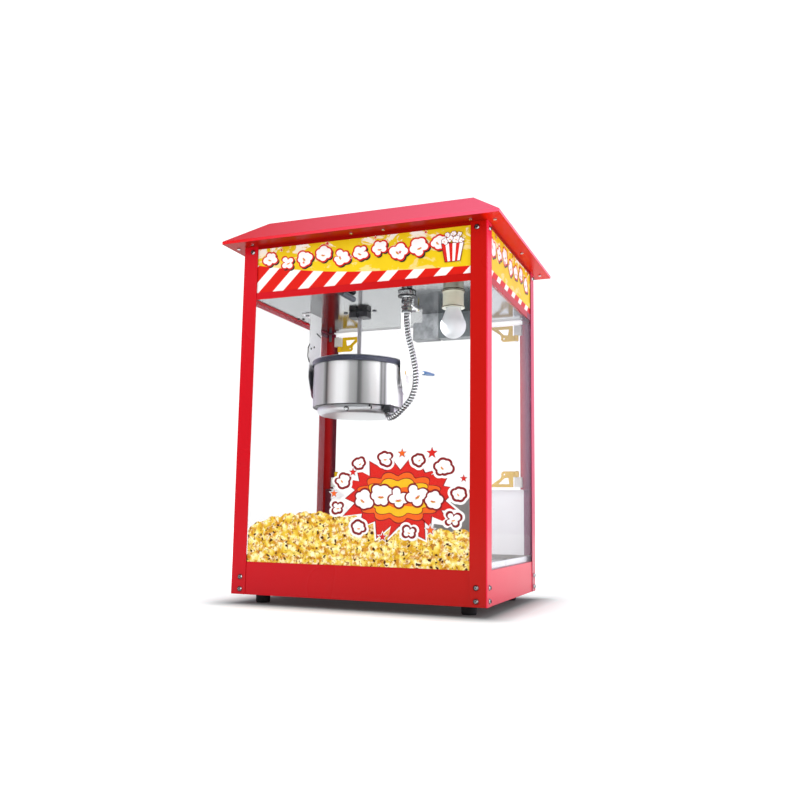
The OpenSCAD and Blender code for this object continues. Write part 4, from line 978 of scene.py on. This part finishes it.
def cabinet_fittings():
    """Dark rings on the lamp's socket, the lower one a painted shadow line at its foot, the doors' catch and an earth
    wire.
    """
    lamp, catch, wire = Fittings(), Fittings(), Fittings()
    # the ring at 575 mm is a painted shadow line at the socket's foot; the one at 606.4 mm marks a joint
    for z in (606.4, 575.0):
        lamp.ring(LAMP_AT, 21, 22.5, z - 0.7, z + 0.7)
    lamp.make("lamp_rings", plastic("lamp_ring", lin(92, 78, 60), 0.5), "cabinet", "ceramic")
    catch.bar((-250, 189.4, 590), (-243, 190.7, 612))
    catch.make("door_catch", MOTOR, "cabinet", "zinc")
    wire.tube([(53, 0, 603), (56, -8, 601), (60, -17, 598), (62, -25, 595)], 1.1)
    wire.make("earth_wire", plastic("earth_wire", lin(150, 140, 40), 0.4), "cabinet", "yellow_plate")


def screw_marks(dark):
    """A ring of painted shade and a cross slot on each of the cabinet's screws. A screw's thinnest side is its axis."""
    shade_rims, slots = Fittings(), Fittings()
    for lo, hi in islands(NODES["cabinet_screws"]):
        mid = [(a + b) / 2 for a, b in zip(lo, hi)]
        k = min(range(3), key=lambda i: hi[i] - lo[i])
        side = 1 if mid[k] > 0 else -1
        out = hi[k] if side > 0 else lo[k]
        r = max(b - a for a, b in zip(lo, hi)) / 2
        base = list(mid)
        base[k] = out - side * (hi[k] - lo[k])
        axis = [0, 0, 0]
        axis[k] = side
        # painted shade round the screw's head
        shade_rims.ring(base, r - 0.2, r + 0.6, 0.02, 0.3, axis)
        for j in (i for i in range(3) if i != k):
            a, b = list(mid), list(mid)
            for i in range(3):
                half = r * 0.42 if i == j else 0.28
                a[i], b[i] = mid[i] - half, mid[i] + half
            a[k], b[k] = sorted((out - side * 0.3, out + side * 0.03))
            slots.bar(a, b)
    shade_rims.make("screw_shade_rims", dark, "cabinet", "zinc")
    slots.make("screw_slots", plastic("screw_slot", lin(118, 118, 122), 0.4), "cabinet", "zinc")


def fittings():
    dark = plastic("fitting_dark", lin(26, 26, 30), 0.45, 400, 0.05)
    kettle_fittings(dark)
    ceiling_fittings(dark)
    cabinet_fittings()
    screw_marks(dark)


# ---------------------------------------------------------------- stage and light
FOOTPRINT = (0.250, 0.186)


def stage():
    """White paper with a painted shadow where the cabinet meets it, darker there and brighter further out."""
    s = 6.0
    me = bpy.data.meshes.new("floor")
    me.from_pydata([(-s, -s, 0), (s, -s, 0), (s, s, 0), (-s, s, 0)], [], [[0, 1, 2, 3]])
    m = Mat("floor_white", rough=0.8)
    x, y = (m.math("MAXIMUM", m.math("SUBTRACT", m.math("ABSOLUTE", v), half), 0.0)
            for v, half in zip(m.xyz(), FOOTPRINT))
    away = m.math("SQRT", m.math("ADD", m.math("MULTIPLY", x, x), m.math("MULTIPLY", y, y)))
    # painted contact shadow: the colour darkens towards the cabinet's footprint
    m.color(m.ramp(m.range(away, 0.0, 0.12), [(0.0, (0.22, 0.245, 0.25)), (0.2, (0.48, 0.53, 0.53)),
                                              (0.50, (0.78, 0.84, 0.84)), (1.0, (0.84, 0.90, 0.90))]))
    # the glow falls away near the footprint as part of the painted shadow, and makes the floor white further out
    m.glow(m.ramp(m.range(away, 0.0, 1.2), [(at, (v, v, v)) for at, v in ((0.0, 0.03), (0.08, 0.32), (0.3, 0.6),
                                                                          (1.0, 0.95))]))
    me.materials.append(m.m)
    o = bpy.data.objects.new("floor", me)
    scene.collection.objects.link(o)


def area(name, loc, aim, size, power):
    d = bpy.data.lights.new(name, "AREA")
    d.shape = "RECTANGLE"
    d.size, d.size_y = size
    d.energy = power
    o = bpy.data.objects.new(name, d)
    scene.collection.objects.link(o)
    o.location = loc
    o.rotation_euler = (Vector(aim) - Vector(loc)).to_track_quat("-Z", "Y").to_euler()
    return o


def lights():
    key = area("key_left", (-1.6, -2.2, 1.9), (0, 0, 0.45), (1.6, 1.6), 26)
    area("fill_right", (2.6, -0.9, 1.3), (0, 0, 0.4), (1.4, 2.0), 24)
    top = area("top", (0.2, -0.2, 2.6), (0, 0, 0.4), (2.2, 2.2), 16)
    inner = area("inner", (0.10, -0.10, 0.585), (-0.10, 0.02, 0.3), (0.16, 0.16), 1.0)
    for light in (key, top, inner):
        light.visible_glossy = False


def studio():
    """The world: soft white light, white behind the object, and a room for what shines."""
    scene.world = bpy.data.worlds.new("studio")
    scene.world.use_nodes = True
    scene.world.node_tree.nodes.clear()
    w = Tree(scene.world.node_tree, "Generated")

    def background(strength, color=(1, 1, 1, 1)):
        n = w.node("Background", Strength=strength)
        w.put(color, n.inputs["Color"])
        return n.outputs[0]

    def choose(fac, a, b):
        n = w.node("MixShader")
        for v, socket in zip((fac, a, b), n.inputs):
            w.link(v, socket)
        return n.outputs[0]

    x, y, z = w.xyz()
    # gloss and polished metal see a bright backdrop behind the cabinet and a dark room in front of it,
    # upright gaps between the softboxes, and a ceiling darker than the backdrop
    room = w.ramp(w.range(y, -1.0, 1.0), [(0.06, (0.13, 0.13, 0.14)), (0.34, (0.34, 0.34, 0.36)),
                                          (0.62, (1.12, 1.0, 1.25))])
    bearing = w.node("CombineXYZ")
    w.link(w.math("ARCTAN2", x, y), bearing.inputs[0])
    gaps = w.ramp(w.noise(1.9, 1.5, 0.5, bearing.outputs[0]), [(0.40, (0.45, 0.45, 0.47)), (0.50, (1, 1, 1))])
    dim = w.node("VectorMath")
    dim.operation = "SCALE"
    w.link(w.mix(1.0, room, gaps, "MULTIPLY"), dim.inputs[0])
    w.link(w.range(z, 0.35, 0.85, 1.0, 0.14), dim.inputs["Scale"])
    ray = w.node("LightPath").outputs
    lit = choose(ray["Is Glossy Ray"], background(0.62), background(1.25, dim.outputs[0]))
    seen = w.math("MAXIMUM", ray["Is Camera Ray"], ray["Is Transmission Ray"])
    w.link(choose(seen, lit, background(1.2)), w.node("OutputWorld").inputs["Surface"])


# ---------------------------------------------------------------- build
for name, look in LOOKS.items():
    wear(NODES[name], look)
front_print()
signs()
conduit()
fittings()
stage()
lights()
studio()

scene.view_settings.view_transform = "Standard"
